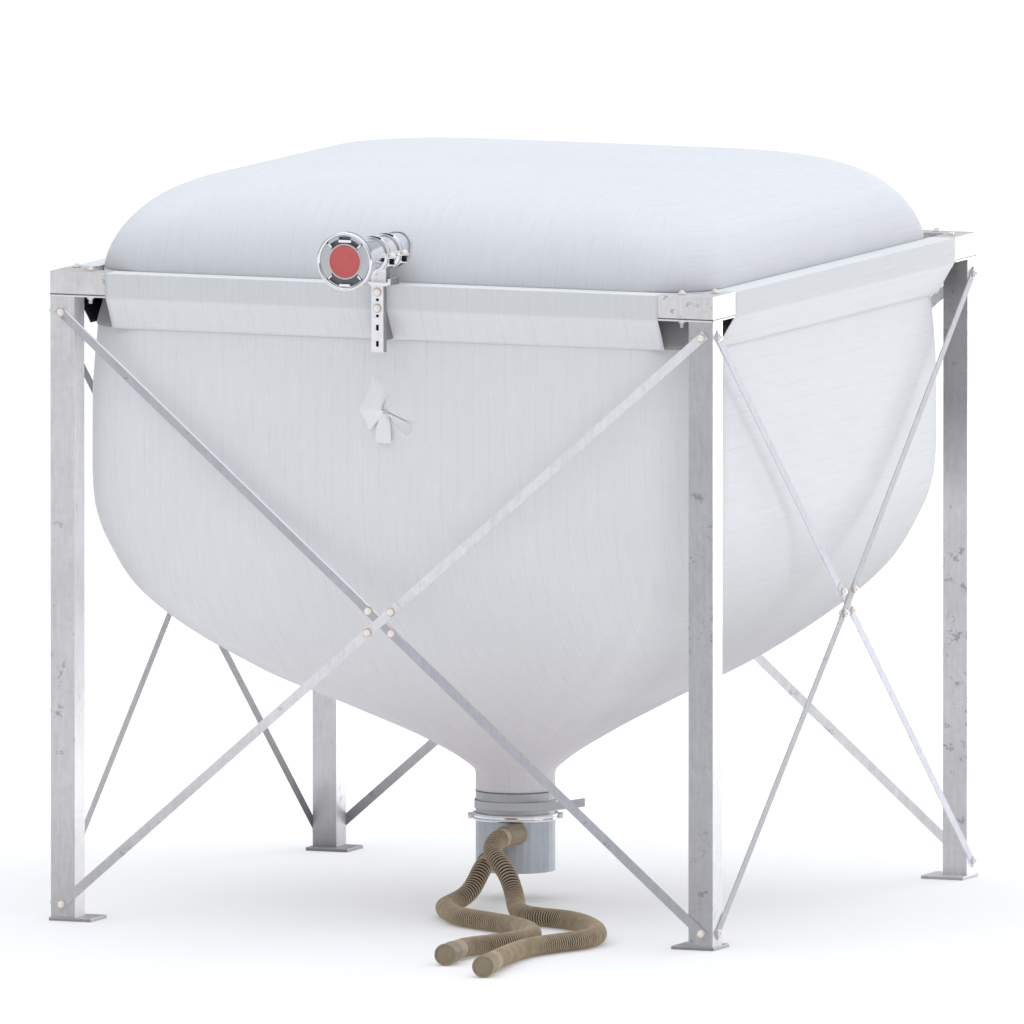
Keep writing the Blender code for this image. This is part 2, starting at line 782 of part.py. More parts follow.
def make_coupling():
    """A claw coupling: a rim, a sunk face and a bore that the cap closes."""
    back = INLET_FACE - COUPLING_DEPTH
    sunk = INLET_FACE - COUPLING_LIP
    outline = (
        (COUPLING_RADIUS, INLET_FACE),
        (COUPLING_RADIUS, back),
        (PIPE_BORE, back),
        (PIPE_BORE, sunk - CAP_DEPTH),
        (CAP_RADIUS + TOUCH, sunk - CAP_DEPTH),
        (CAP_RADIUS + TOUCH, sunk),
        (COUPLING_RADIUS - COUPLING_LIP, sunk),
        (COUPLING_RADIUS - COUPLING_LIP, INLET_FACE),
    )
    along_inlet("inlet_coupling", outline, POLISHED)
    seat = sunk - CAP_DEPTH + TOUCH
    cap = add_part(
        "inlet_cap",
        rod_mesh("cap", (0, -seat, INLET_HEIGHT), (0, -seat - CAP_DEPTH, INLET_HEIGHT), CAP_RADIUS),
        RED,
    )
    smooth(cap)


def make_pipe_clamps():
    """Two band clamps on the fill pipe, each with a pair of ears and a bolt on its right side."""
    inner = PIPE_RADIUS + TOUCH
    outer = inner + CLAMP_SHEET
    ear_low = INLET_HEIGHT + CLAMP_EAR_LOW
    ear_high = INLET_HEIGHT + CLAMP_EAR_HIGH
    bolt_x = outer + CLAMP_EAR_REACH / 2
    for number, middle in enumerate(CLAMP_PLACES, 1):
        low = middle - CLAMP_WIDTH / 2
        high = middle + CLAMP_WIDTH / 2
        clamp = along_inlet("inlet_clamp_" + str(number), tube_outline(outer, inner, low, high), BRUSHED)
        front = (inner + CLAMP_BITE, CLAMP_EAR_INSET - high, ear_low)
        back = (outer + CLAMP_EAR_REACH, -CLAMP_EAR_INSET - low, ear_high)
        ear = add_cutter("ear", box_mesh("ear", front, back))
        cut(ear, rod_mesh("pipe", (0, -INLET_FACE, INLET_HEIGHT), (0, 0, INLET_HEIGHT), inner))
        combine(clamp, [ear], "UNION")
        foot = (bolt_x, -middle, ear_low - CLAMP_BOLT_PAST)
        head = (bolt_x, -middle, ear_high + CLAMP_BOLT_PAST)
        join(clamp, rod_mesh("shaft", foot, head, CLAMP_BOLT_RADIUS, sides=HEXAGON))


def make_strut():
    """A slotted channel down the front beam, its lip over the beam and the saddle that carries the pipe."""
    back = FRAME_HALF + 2 * TOUCH
    front = back + STRUT_DEPTH
    half = STRUT_WIDTH / 2
    web = box_mesh("web", (-half, -front, STRUT_LOW), (half, STRUT_SHEET - front, STRUT_HIGH))
    strut = add_part("inlet_strut", web, GALVANISED)
    lip_low = (-half - LIP_PROUD[0], -front, STRUT_HIGH - STRUT_BITE)
    lip_high = (half + LIP_PROUD[1], LIP_DEPTH - back, STRUT_HIGH + LIP_THICKNESS)
    saddle_back = CLAMP_PLACES[1] + CLAMP_WIDTH / 2 + SADDLE_GAP
    saddle_low = (-SADDLE_WIDTH / 2, SADDLE_INSET - front, STRUT_HIGH + LIP_THICKNESS / 2)
    saddle_high = (SADDLE_WIDTH / 2, -saddle_back, INLET_HEIGHT - SADDLE_DROP)
    join(
        strut,
        box_mesh("flange", (-half, -front, STRUT_LOW), (STRUT_SHEET - half, -back, STRUT_HIGH)),
        box_mesh("flange", (half - STRUT_SHEET, -front, STRUT_LOW), (half, -back, STRUT_HIGH)),
        box_mesh("lip", lip_low, lip_high),
        box_mesh("saddle", saddle_low, saddle_high),
    )
    cut(
        strut,
        box_mesh("sleeve", (-FRAME_HALF, -back, STRUT_LOW), (FRAME_HALF, 0, SLEEVE_TOP + TOUCH)),
        rod_mesh("pipe", (0, -INLET_FACE, INLET_HEIGHT), (0, 0, INLET_HEIGHT), round_clear(PIPE_RADIUS)),
    )
    before = -front - STRUT_SHEET
    behind = -front + 2 * STRUT_SHEET
    for height in STRUT_HOLES:
        hole = rod_mesh("hole", (0, before, height), (0, behind, height), STRUT_HOLE_RADIUS, sides=HOLE_STEPS)
        cut(strut, hole)
    for height in STRUT_SLOTS:
        low = (-STRUT_SLOT[0] / 2, before, height - STRUT_SLOT[1] / 2)
        high = (STRUT_SLOT[0] / 2, behind, height + STRUT_SLOT[1] / 2)
        cut(strut, box_mesh("slot", low, high))
    for height in STRUT_BOLTS:
        bolt(strut, (0, -front, height), (0, -1, 0), reach=STRUT_STUD)


def make_gusset():
    """A dark three-cornered plate between the channel and the sleeve's slope."""
    out = FRAME_HALF + TOUCH
    slope = (out - SLEEVE_SLOPE_IN) / (SLEEVE_FACE_LOW - SLEEVE_SLOPE_LOW)
    high = SLEEVE_FACE_LOW - GUSSET_INSET
    low = SLEEVE_SLOPE_LOW + GUSSET_INSET
    corners = (
        (out, high),
        (out, low + GUSSET_CORNER[1]),
        (out - GUSSET_CORNER[0], low),
        (out + 2 * TOUCH - slope * (SLEEVE_FACE_LOW - low), low),
    )
    outline = bpy.data.curves.new("gusset_outline", "CURVE")
    outline.dimensions = "2D"
    outline.fill_mode = "BOTH"
    outline.extrude = GUSSET_THICKNESS / 2
    line = outline.splines.new("POLY")
    line.points.add(len(corners) - 1)
    for point, (depth, height) in zip(line.points, corners, strict=True):
        point.co = (-depth, height, 0, 1)
    line.use_cyclic_u = True
    plate = bpy.data.objects.new("inlet_gusset", outline)
    silo.objects.link(plate)
    outline.materials.append(make_material("inlet_gusset", *DARK))
    place_x = STRUT_WIDTH / 2 - GUSSET_THICKNESS / 2
    place(plate, axis, (place_x, 0, 0), (math.radians(90), 0, math.radians(90)))


# Outlet


def make_spigot():
    """The steel ring that the bag's neck is strapped to."""
    step = NECK_BOTTOM - TOUCH
    inside = NECK_RADIUS - OUTLET_SHEET - TOUCH
    outline = (
        (inside, SPIGOT_TOP),
        (inside, step),
        (OUTLET_RADIUS, step),
        (OUTLET_RADIUS, SPIGOT_BOTTOM),
        (inside - OUTLET_SHEET, SPIGOT_BOTTOM),
        (inside - OUTLET_SHEET, SPIGOT_TOP),
    )
    smooth(turned("outlet_spigot", outline, BRUSHED))


def make_clamp_ring():
    """The lever ring that holds the collar to the spigot, with a bolted lug on each side."""
    inner = OUTLET_RADIUS + TOUCH
    outline = (
        (RING_RADIUS - RING_ROUNDING, RING_HIGH),
        (RING_RADIUS, RING_HIGH - RING_ROUNDING),
        (RING_RADIUS, RING_LOW + RING_ROUNDING),
        (RING_RADIUS - RING_ROUNDING, RING_LOW),
        (inner, RING_LOW),
        (inner, RING_HIGH),
    )
    ring = turned("clamp_ring", outline, POLISHED)
    middle = (RING_LOW + RING_HIGH) / 2
    turn = Matrix.Rotation(math.radians(RING_TURN), 4, "Z")
    reach = RING_RADIUS + LUG_REACH
    for sign in (-1, 1):
        root = (sign * (RING_RADIUS - RING_ROUNDING), -LUG_SIZE[0] / 2, middle - LUG_SIZE[1] / 2)
        tip = (sign * reach, LUG_SIZE[0] / 2, middle + LUG_SIZE[1] / 2)
        lug = box_mesh("lug", root, tip)
        shaft_x = sign * (reach - LUG_SHAFT_RADIUS)
        front = (shaft_x, -LUG_SHAFT_LENGTH / 2, middle)
        back = (shaft_x, LUG_SHAFT_LENGTH / 2, middle)
        shaft = rod_mesh("shaft", front, back, LUG_SHAFT_RADIUS, sides=STUD_STEPS)
        for mesh in (lug, shaft):
            mesh.transform(turn)
        join(ring, lug, shaft)
    smooth(ring)


def make_belt():
    """A flat belt round the spigot whose free end sticks out to the right."""
    leaves = math.radians(BELT_LEAVES_AT)
    first = math.radians(BELT_LEAVES_AT + BELT_STARTS_AFTER)
    radius = round_clear(OUTLET_RADIUS, BELT_STEPS) + BELT_SHEET
    path = []
    for angle in np.linspace(first, leaves + 2 * math.pi, BELT_STEPS + 1):
        path.append((radius * math.cos(angle), radius * math.sin(angle), BELT_LOW))
    start_x, start_y = path[-1][:2]
    for share in np.linspace(0, 1, TAIL_STEPS + 1)[1:]:
        run = BELT_TAIL * share
        rise = BELT_TAIL_RISE * share**2
        path.append((start_x - run * math.sin(leaves), start_y + run * math.cos(leaves), BELT_LOW + rise))
    upper = [(x, y, z + BELT_HEIGHT) for x, y, z in path]
    smooth(loft("outlet_belt", [upper, path], FABRIC, sheet=BELT_SHEET))


def make_collar():
    """The galvanised collar under the clamp ring, with a stub for each hose."""
    inner = OUTLET_RADIUS - OUTLET_SHEET
    outline = tube_outline(OUTLET_RADIUS, inner, COLLAR_BOTTOM, COLLAR_TOP)
    collar = turned("outlet_collar", outline, GALVANISED)
    lines = [hose_line(route) for route in (ROUTE_LEFT, ROUTE_RIGHT)]
    stubs = [(line[0], (line[1] - line[0]).normalized()) for line in lines]
    for mouth, out in stubs:
        tip = mouth - out * TOUCH
        join(collar, rod_mesh("stub", tip - out * STUB_LENGTH, tip, STUB_RADIUS, sides=STUB_STEPS))
    below = (0, 0, COLLAR_BOTTOM - STUB_RADIUS)
    above = (0, 0, COLLAR_TOP + STUB_RADIUS)
    cut(collar, rod_mesh("inside", below, above, inner))
    for mouth, out in stubs:
        past = mouth + out * STUB_RADIUS
        cut(collar, rod_mesh("bore", mouth - out * STUB_LENGTH, past, STUB_BORE, sides=STUB_STEPS))
    smooth(collar)


# Hoses


def hose_line(route):
    """Evenly spaced points on the smooth curve that a route's points steer, ends included."""
    steer = np.array(route)
    steer = np.vstack((2 * steer[0] - steer[1], steer, 2 * steer[-1] - steer[-2]))
    fine = []
    for i in range(len(route) - 1):
        for t in np.linspace(0, 1, CURVE_STEPS, endpoint=False):
            weights = ((1 - t) ** 3, 3 * t**3 - 6 * t**2 + 4, -3 * t**3 + 3 * t**2 + 3 * t + 1, t**3)
            fine.append(np.array(weights) @ steer[i : i + 4] / 6)
    fine = np.array([*fine, route[-1]])
    lengths = np.concatenate(([0], np.cumsum(np.linalg.norm(np.diff(fine, axis=0), axis=1))))
    stops = np.linspace(0, lengths[-1], round(lengths[-1] / HOSE_SPACING) + 1)
    return [Vector([np.interp(stop, lengths, fine[:, k]) for k in range(3)]) for stop in stops]


def make_hose(name, route):
    """A hose along its route, and the cuff that ends it."""
    points = hose_line(route)
    curve = bpy.data.curves.new(name, "CURVE")
    curve.dimensions = "3D"
    curve.bevel_depth = HOSE_RADIUS
    curve.bevel_resolution = HOSE_BEVEL_STEPS
    curve.use_fill_caps = True
    line = curve.splines.new("POLY")
    line.points.add(len(points) - 1)
    for point, spot in zip(line.points, points, strict=True):
        point.co = (*spot, 1)
    hose = bpy.data.objects.new(name, curve)
    silo.objects.link(hose)
    curve.materials.append(make_material(name, *HOSE))
    place(hose, axis)
    out = (points[-1] - points[-2]).normalized()
    start = points[-1] + out * TOUCH
    tip = start + out * CUFF_LENGTH
    mesh = rod_mesh("cuff", start, tip, CUFF_RADIUS, sides=STUB_STEPS)
    cuff = add_part(name + "_cuff", mesh, DARK)
    bottom = tip - out * CUFF_BORE_DEPTH
    cut(cuff, rod_mesh("bore", bottom, tip + out * CUFF_RADIUS, CUFF_BORE, sides=STUB_STEPS))
    smooth(cuff)


for corner_name, corner_signs in CORNERS.items():
    make_leg(corner_name, corner_signs)
    make_bracket(corner_name, corner_signs)
for side_index, side_name in enumerate(SIDES):
    make_beam(side_name, side_index)
make_braces()
make_walls()
make_hopper()
make_roof()
make_sleeves()
make_neck()
make_spout()
make_inlet_pipe()
make_coupling()
make_pipe_clamps()
make_strut()
make_gusset()
make_spigot()
make_clamp_ring()
make_belt()
make_collar()
make_hose("hose_left", ROUTE_LEFT)
make_hose("hose_right", ROUTE_RIGHT)
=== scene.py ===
"""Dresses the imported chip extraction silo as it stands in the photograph.

Metres, +Z up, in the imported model's own frame. The bag's own axis stands at Y = AXIS_Y, and most pieces are
modelled round that axis and then moved there.
"""

import math

import bmesh
import bpy
import numpy as np
from mathutils import Matrix, Vector, noise


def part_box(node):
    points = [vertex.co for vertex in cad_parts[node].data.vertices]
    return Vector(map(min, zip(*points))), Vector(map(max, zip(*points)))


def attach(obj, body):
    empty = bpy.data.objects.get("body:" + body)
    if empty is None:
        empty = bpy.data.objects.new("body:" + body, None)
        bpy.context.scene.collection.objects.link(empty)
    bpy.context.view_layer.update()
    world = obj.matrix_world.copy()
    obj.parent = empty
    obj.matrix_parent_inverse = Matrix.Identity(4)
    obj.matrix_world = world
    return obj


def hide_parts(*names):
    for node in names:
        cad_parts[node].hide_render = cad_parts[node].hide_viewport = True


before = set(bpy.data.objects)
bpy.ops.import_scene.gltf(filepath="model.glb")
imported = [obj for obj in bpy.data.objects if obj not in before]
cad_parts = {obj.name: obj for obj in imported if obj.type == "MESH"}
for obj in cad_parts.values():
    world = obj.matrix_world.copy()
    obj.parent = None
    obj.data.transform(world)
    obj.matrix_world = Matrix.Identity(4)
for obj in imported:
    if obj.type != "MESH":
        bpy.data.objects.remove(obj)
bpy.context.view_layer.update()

NECK_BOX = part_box("neck")
AXIS_Y = (NECK_BOX[0][1] + NECK_BOX[1][1]) / 2
SIDES = ("front", "right", "back", "left")
CORNERS = ((-1, -1), (1, -1), (1, 1), (-1, 1))
FRONT = Vector((0, -1, 0))

# The fine gap that keeps one surface off another
CLEAR = 0.0003

# Camera: a very long lens from far away, as in the photograph's parallel view
AZIMUTH = 22.14
ELEVATION = 6.0
LENS = 1600.0
SENSOR = 36.0
VIEW_WIDTH = 3.17
AIM_HEIGHT = 1.203
AIM_LEFT = 0.011

# Light and floor. Each lamp has a name, a place, a target, a size and a power. The floor's glow changes
# between two distances
LAMPS = (
    ("side", (10.0, -0.5, 1.4), (0, 0, 1.2), (5.0, 2.6), 47),
    ("rim", (5.0, 12.0, 2.4), (0, 0, 1.0), (6.0, 5.0), 340),
)
WORLD_LOW = (0.295, 0.305, 0.310)
WORLD_HIGH = (1.72, 1.77, 1.90)
FLOOR_RADIUS = 320
FLOOR_DROP = -0.0004
FLOOR_TONE = (0.80, 0.80, 0.80)
GLOW_TINT = (1.0, 0.985, 0.95, 1)
GLOW_REACH = (1.7, 3.6)
GLOW = (0.205, 0.25)

# Frame
FRAME_HALF = 1.100
POST_WIDTH = 0.080
POST_MID = FRAME_HALF - POST_WIDTH / 2
BOLT_FROM_CORNER = 0.118
HEAD_PLATE_LOW = 1.936
HEAD_PLATE_TOP = 1.941
BRACKET_TOP = 2.0140
BRACKET_ARM = 0.183
EDGE_DEPTH = 0.002
EDGE_BEVEL = 0.0005
BRACE_BOLT_INSET = 0.037
BRACE_LOW = 0.052
BRACE_HIGH = 1.888
STRAP_THICKNESS = 0.003
STRAP_WIDTH = 0.029
LAP_BOLT = 0.051

# Seams and edges of the corners' plates: name, slot, lowest and highest level, how far they stand out
PLATE_EDGES = (
    ("bracket_seams", "dark_steel", HEAD_PLATE_TOP + 0.0004, HEAD_PLATE_TOP + 0.0042, 0.0004),
    ("head_plate_edges", "polished_steel", HEAD_PLATE_LOW + 0.0002, HEAD_PLATE_TOP - 0.0002, 0.0006),
)

# Bolts, and how far each kind of stud stands out
NUT_RADIUS = 0.0112
NUT_HEIGHT = 0.0076
WASHER_RADIUS = 0.0143
WASHER_HEIGHT = 0.0016
NUT_CHAMFER = 0.0009
STUD_RADIUS = 0.0062
STUD_POINT = 0.0012
STUD_CROWN = 0.0008
THREAD_PITCH = 0.0016
THREAD_DEPTH = 0.0007
HANGING_STUD = 0.022
OUTER_STUD = 0.013
INNER_STUD = 0.012
STRUT_STUD = 0.010
RING_NUT = ((0.0072, -0.014, 0.020, 6), (0.0042, 0.006, 0.005, 12))

# Bag: heights and half widths of its rounded square sections, from the roof's edge down to the neck
BAG_PROFILE = (
    (2.0105, 1.0234), (1.9350, 1.0234), (1.8400, 1.0400), (1.6000, 1.0540),
    (1.4000, 1.0540), (1.3000, 1.0495), (1.2200, 1.0350), (1.1400, 1.0068),
    (1.0400, 0.9605), (0.9350, 0.8780), (0.7440, 0.6510), (0.6020, 0.4100),
    (0.5000, 0.2430), (0.4340, 0.1570), (0.3950, 0.1240), (0.3350, 0.1240),
)
TOP_HALF = BAG_PROFILE[0][1]
WIDEST_HALF = BAG_PROFILE[3][1]
CORNER_RADIUS = 0.215
NECK_RADIUS = 0.124
NECK_BOTTOM = 0.336
ROOF_BASE = 2.0105
ROOF_RISE = 0.289
ROOF_SQUARENESS = 8.1
ROOF_SHOULDER = 0.633
ROOF_ROUNDING = 0.95
FABRIC_THICKNESS = 0.0016
HEM = 0.004

# Slack in the cloth: the bag's own hollows, flutes, gathers and corner fold, the roof's and the sleeves'
HOLLOW_DEPTH = 0.0030
FLUTE_DEPTH = 0.0008
GATHER_DEPTH = 0.0016
GATHERS = 26
FOLD_DEPTH = 0.0075
FOLD_WIDTH = 0.035
FOLD_INSET = 0.01
FOLD_LOW = 0.6
FOLD_HIGH = 1.45
TAUT_DEPTH = 0.0025
PUCKER_DEPTH = 0.0010
SLEEVE_WAVE = 0.0022

# Sleeves round the beams, and the bands of painted shade between their ends
SLEEVE_TOP = 2.0135
SLEEVE_FACE_LOW = 1.940
SLEEVE_SLOPE_LOW = 1.838
SLEEVE_SLOPE_IN = 1.0428
SLEEVE_TUCK = 0.004
SLEEVE_BEND = 0.006
SLEEVE_ROW = 0.012
BAND_PROUD = 0.0012
BAND_OVERLAP = 0.040

# Spare spout on the front wall: each fold's outline, bulge, crest, lifts of its edge and pleats
SPOUT_TIE = (-0.004, 1.620)
SPOUT_TIE_HALF = 0.009
SPOUT_TIE_DEPTH = 0.007
SPOUT_PLEAT = 0.0050
SPOUT_CLOTH = 0.0010
SPOUT_KNOT = ((0.0120, 0.005), (0.0120, -0.005), (0.0090, -0.005), (0.0090, 0.005))
KNOT_SQUASH = (1.1, 0.75, 1, 1)
KNOT_OUT = 0.008
KNOT_DROP = 0.004
SPOUT_BURIED = -0.006
SPOUT_PETALS = (
    (
        ((-0.004, 1.655), (-0.016, 1.706), (-0.053, 1.738), (-0.066, 1.672), (-0.0956, 1.623),
         (-0.076, 1.590), (-0.0555, 1.553), (-0.036, 1.575), (-0.016, 1.600)),
        0.022, 0.60, ((0, SPOUT_BURIED), (0.45, SPOUT_BURIED), (0.7, -0.002), (1, 0.000)), 0,
    ),
    (
        ((-0.0190, 1.604), (-0.0300, 1.560), (-0.0345, 1.520), (-0.010, 1.518), (0.021, 1.519),
         (0.016, 1.560), (0.010, 1.604)),
        0.004, 0.35, ((0, 0.004), (0.3, 0.010), (0.7, 0.006), (1, 0.006)), 2,
    ),
    (
        ((-0.004, 1.650), (0.015, 1.690), (0.045, 1.703), (0.080, 1.702), (0.112, 1.690),
         (0.117, 1.630), (0.118, 1.578), (0.060, 1.594), (0.008, 1.612)),
        0.004, 0.80, ((0, SPOUT_BURIED), (0.66, SPOUT_BURIED), (0.80, -0.001), (1, 0.001)), 0,
    ),
    (
        ((0.045, 1.594), (0.070, 1.584), (0.092, 1.575), (0.084, 1.558), (0.0675, 1.5435),
         (0.040, 1.564), (0.012, 1.594)),
        0.004, 0.5, ((0, -0.005), (0.4, -0.003), (1, -0.003)), 0,
    ),
)

# Fill inlet. Claws have an inner radius, a drop below the face, two angles and a number of steps
INLET_HEIGHT = 2.110
INLET_FACE = 1.396
PIPE_RADIUS = 0.052
COUPLING_RADIUS = 0.091
CAP_RADIUS = 0.0505
SEAL_RADIUS = CAP_RADIUS + 0.0045
RIM_WIDTH = 0.0105
RIM_FLOOR = 0.004
CLAWS = (
    (SEAL_RADIUS, 0, -42, 42, 24),
    (SEAL_RADIUS, 0, 138, 222, 24),
    (0.0705, 0.001, 46, 75, 12),
    (0.0705, 0.001, 105, 134, 12),
    (0.0775, 0.001, 74, 106, 12),
    (0.0770, 0.001, 226, 314, 24),
)

# Catches of the coupling: two corners across its face, how far they stand out of it, and a turn
CATCHES = (
    *((0.060, -0.0028, 0.0765, 0.0028, 0.002, degrees) for degrees in (45, 135, 225, 315)),
    (-0.021, 0.0585, 0.021, 0.0670, 0, 0),
    (-0.018, -0.0765, 0.018, -0.0690, 0.001, 0),
)

# Red cap and pipe: radii, each with how far behind the coupling's face or the pipe's front end it is
CAP_DISH = (
    (0.0001, 0.0035), (0.030, 0.0032), (CAP_RADIUS - 0.006, 0.0022), (CAP_RADIUS - 0.003, 0.0002),
    (CAP_RADIUS - 0.0006, 0.0006), (CAP_RADIUS - 0.0004, 0.007),
)
PIPE_FLARE = (
    (0.066, 0), (0.066, 0.004), (0.0645, 0.006), (0.0645, 0.026), (0.066, 0.028), (0.066, 0.034),
    (0.062, 0.050), (0.0545, 0.080), (PIPE_RADIUS, 0.090),
)
PIPE_END = 0.900
PIPE_WALL = 0.003
PIPE_HOLE_RADIUS = PIPE_RADIUS + 0.001
PIPE_HOLE_HALF = 0.3

# Band clamps on the pipe, and the channel under it
CLAMP_PLACES = (1.165, 1.065)
CLAMP_HALF = 0.014
EARS = (-0.008, -0.030)
EAR_THICKNESS = 0.004
STRUT_FRONT = 1.1266
STRUT_BOLTS = (1.992, 1.942)
STRUT_TOP = 2.012
SADDLE_FRONT = -STRUT_FRONT - 0.006
SADDLE_BACK = -1.062

# Dark block of painted shade inside the channel, and its saddle's plate, foot and lip: low corner, high
# corner and bevel
STRUT_SHADE_BOX = ((-0.0165, 0.0055 - STRUT_FRONT, 1.814), (0.0165, 0.0065 - STRUT_FRONT, 2.004), 0.0003)
STRUT_SADDLE = (
    ((-0.027, SADDLE_FRONT, 2.0146), (0.046, SADDLE_BACK, 2.0226), 0.001),
    ((-0.0185, 0.001 - STRUT_FRONT, STRUT_TOP - 0.0002), (0.0185, -FRAME_HALF - 0.002, 2.0148), 0.0004),
    ((0.036, SADDLE_FRONT, 2.022), (0.046, SADDLE_BACK, 2.034), 0.001),
)

# Outlet
OUTLET_RADIUS = 0.1234
RING_RADIUS = 0.1365
RING_MIDDLE = 0.25875
RING_HALF = 0.01125
RING_TURN = 22.0
LUG_REACH = 0.010
LUG_HALF = 0.008
LUG_THICKNESS = 0.007
BELT_OUT = 0.0022
BELT_LOW = 0.284
BELT_WIDTH = 0.026
BELT_THICKNESS = 0.0020
BELT_START = -46.0
BELT_LEAVES = -68.0
BELT_TAIL = 0.215
BELT_TAIL_BOW = 0.004
BELT_TAIL_RISE = 0.016

# Hoses: the same steering points as in the part's source
HOSE_RADIUS = 0.030
FLOOR_HOSE = 0.0307
FLOOR_CUFF = 0.0346
ROUTE_LEFT = (
    (-0.019, -0.151, 0.137), (-0.008, -0.262, 0.123), (-0.002, -0.351, 0.053),
    (-0.025, -0.460, FLOOR_HOSE), (-0.012, -0.572, FLOOR_HOSE), (0.053, -0.665, FLOOR_HOSE),
    (0.109, -0.764, FLOOR_HOSE), (0.200, -0.830, FLOOR_HOSE), (0.299, -0.886, FLOOR_HOSE),
    (0.390, -0.953, FLOOR_HOSE), (0.464, -1.039, FLOOR_HOSE), (0.524, -1.136, FLOOR_HOSE),
    (0.548, -1.246, FLOOR_HOSE), (0.529, -1.358, FLOOR_HOSE), (0.485, -1.462, FLOOR_HOSE),
    (0.465, -1.574, FLOOR_CUFF), (0.480, -1.686, FLOOR_CUFF),
)
ROUTE_RIGHT = (
    (0.048, -0.143, 0.214), (0.034, -0.262, 0.213), (0.068, -0.370, 0.175),
    (0.154, -0.444, 0.140), (0.210, -0.513, 0.059), (0.255, -0.620, FLOOR_HOSE),
    (0.346, -0.698, FLOOR_HOSE), (0.464, -0.722, FLOOR_HOSE), (0.552, -0.803, FLOOR_HOSE),
    (0.622, -0.901, FLOOR_HOSE), (0.682, -1.004, FLOOR_HOSE), (0.725, -1.116, FLOOR_HOSE),
    (0.719, -1.236, FLOOR_HOSE), (0.670, -1.346, FLOOR_HOSE), (0.639, -1.462, FLOOR_HOSE),
    (0.643, -1.582, FLOOR_HOSE), (0.657, -1.701, FLOOR_HOSE), (0.680, -1.819, FLOOR_CUFF),
    (0.702, -1.937, FLOOR_CUFF),
)
RIB_PITCH = 0.0100
RIB_STRETCHED = 0.0138
RIB_STRETCH_ENDS = (0.38, 0.60)
RIB_DEPTH = 0.0046
RIB_FLAT = 0.14
RIB_SLOPE = 0.14
BEND_REACH = 24
BEND_SLIGHT = 0.0024
BEND_SHARP = 0.0038
BEND_SQUEEZE = 0.85
SMOOTH_START = 0.085
SMOOTH_END = 0.070
CUFF_OUTLINE = (
    (0.0340, 0.100), (0.0340, 0.088), (0.0325, 0.086), (0.0325, 0.004), (0.0310, 0.000),
    (0.0002, 0.000), (0.0002, 0.094), (0.0290, 0.095), (0.0295, 0.100),
)
SOCKET_OUTLINE = (
    (0.0312, 0.060), (0.0325, 0.055), (0.0325, -0.020), (0.0340, -0.022), (0.0340, -0.034),
    (0.0300, -0.036), (0.0300, 0.060),
)

# Fineness of the meshes
SIDE_STEPS = 84
ROOF_ROWS = 56
RIB_SPACING = 0.00125
HOSE_SIDES = 20
CUFF_SIDES = 48
PATH_SPACING = 0.02
SHARP_ANGLE = math.radians(35)
CORNER_SHARE = 1 - 1e-6

# Surfaces: threads of the cloth, tones of steel with its darker foot plates, scuffs and painted edge
# highlight, tones of the hoses with painted shade in their grooves, and the usual range of a noise
WARP_PITCH = 0.052
WARP_WIDTH = 0.0016
WARP_DARK = 0.075
WEFT_PITCH = 0.050
WEFT_WIDTH = 0.0022
WEFT_LIGHT = 0.030
WEAVE_PITCH = 0.0030
FOOT_PLATE_LOW = 0.007
FOOT_PLATE_HIGH = 0.009
FOOT_PLATE_LIGHT = 0.62
SCUFF_TONE = (0.13, 0.15, 0.20)
SCUFF_ON_FLANKS = 0.35
EDGE_HIGHLIGHT_TONE = (0.97, 0.97, 0.98)
EDGE_HIGHLIGHT_WIDTH = 0.0045
EDGE_HIGHLIGHT_SOFT = 0.001
EDGE_HIGHLIGHT_FROM = (0.9, 1.0)
SIDE_FACES = (0.5, 0.9)
RIB_TONES = ((0.37, 0.282, 0.178), (0.535, 0.428, 0.298))
GAP_SHADE_TONES = ((0.006, 0.004, 0.004), (0.14, 0.105, 0.07))
NOISE_RANGE = (0.3, 0.7)

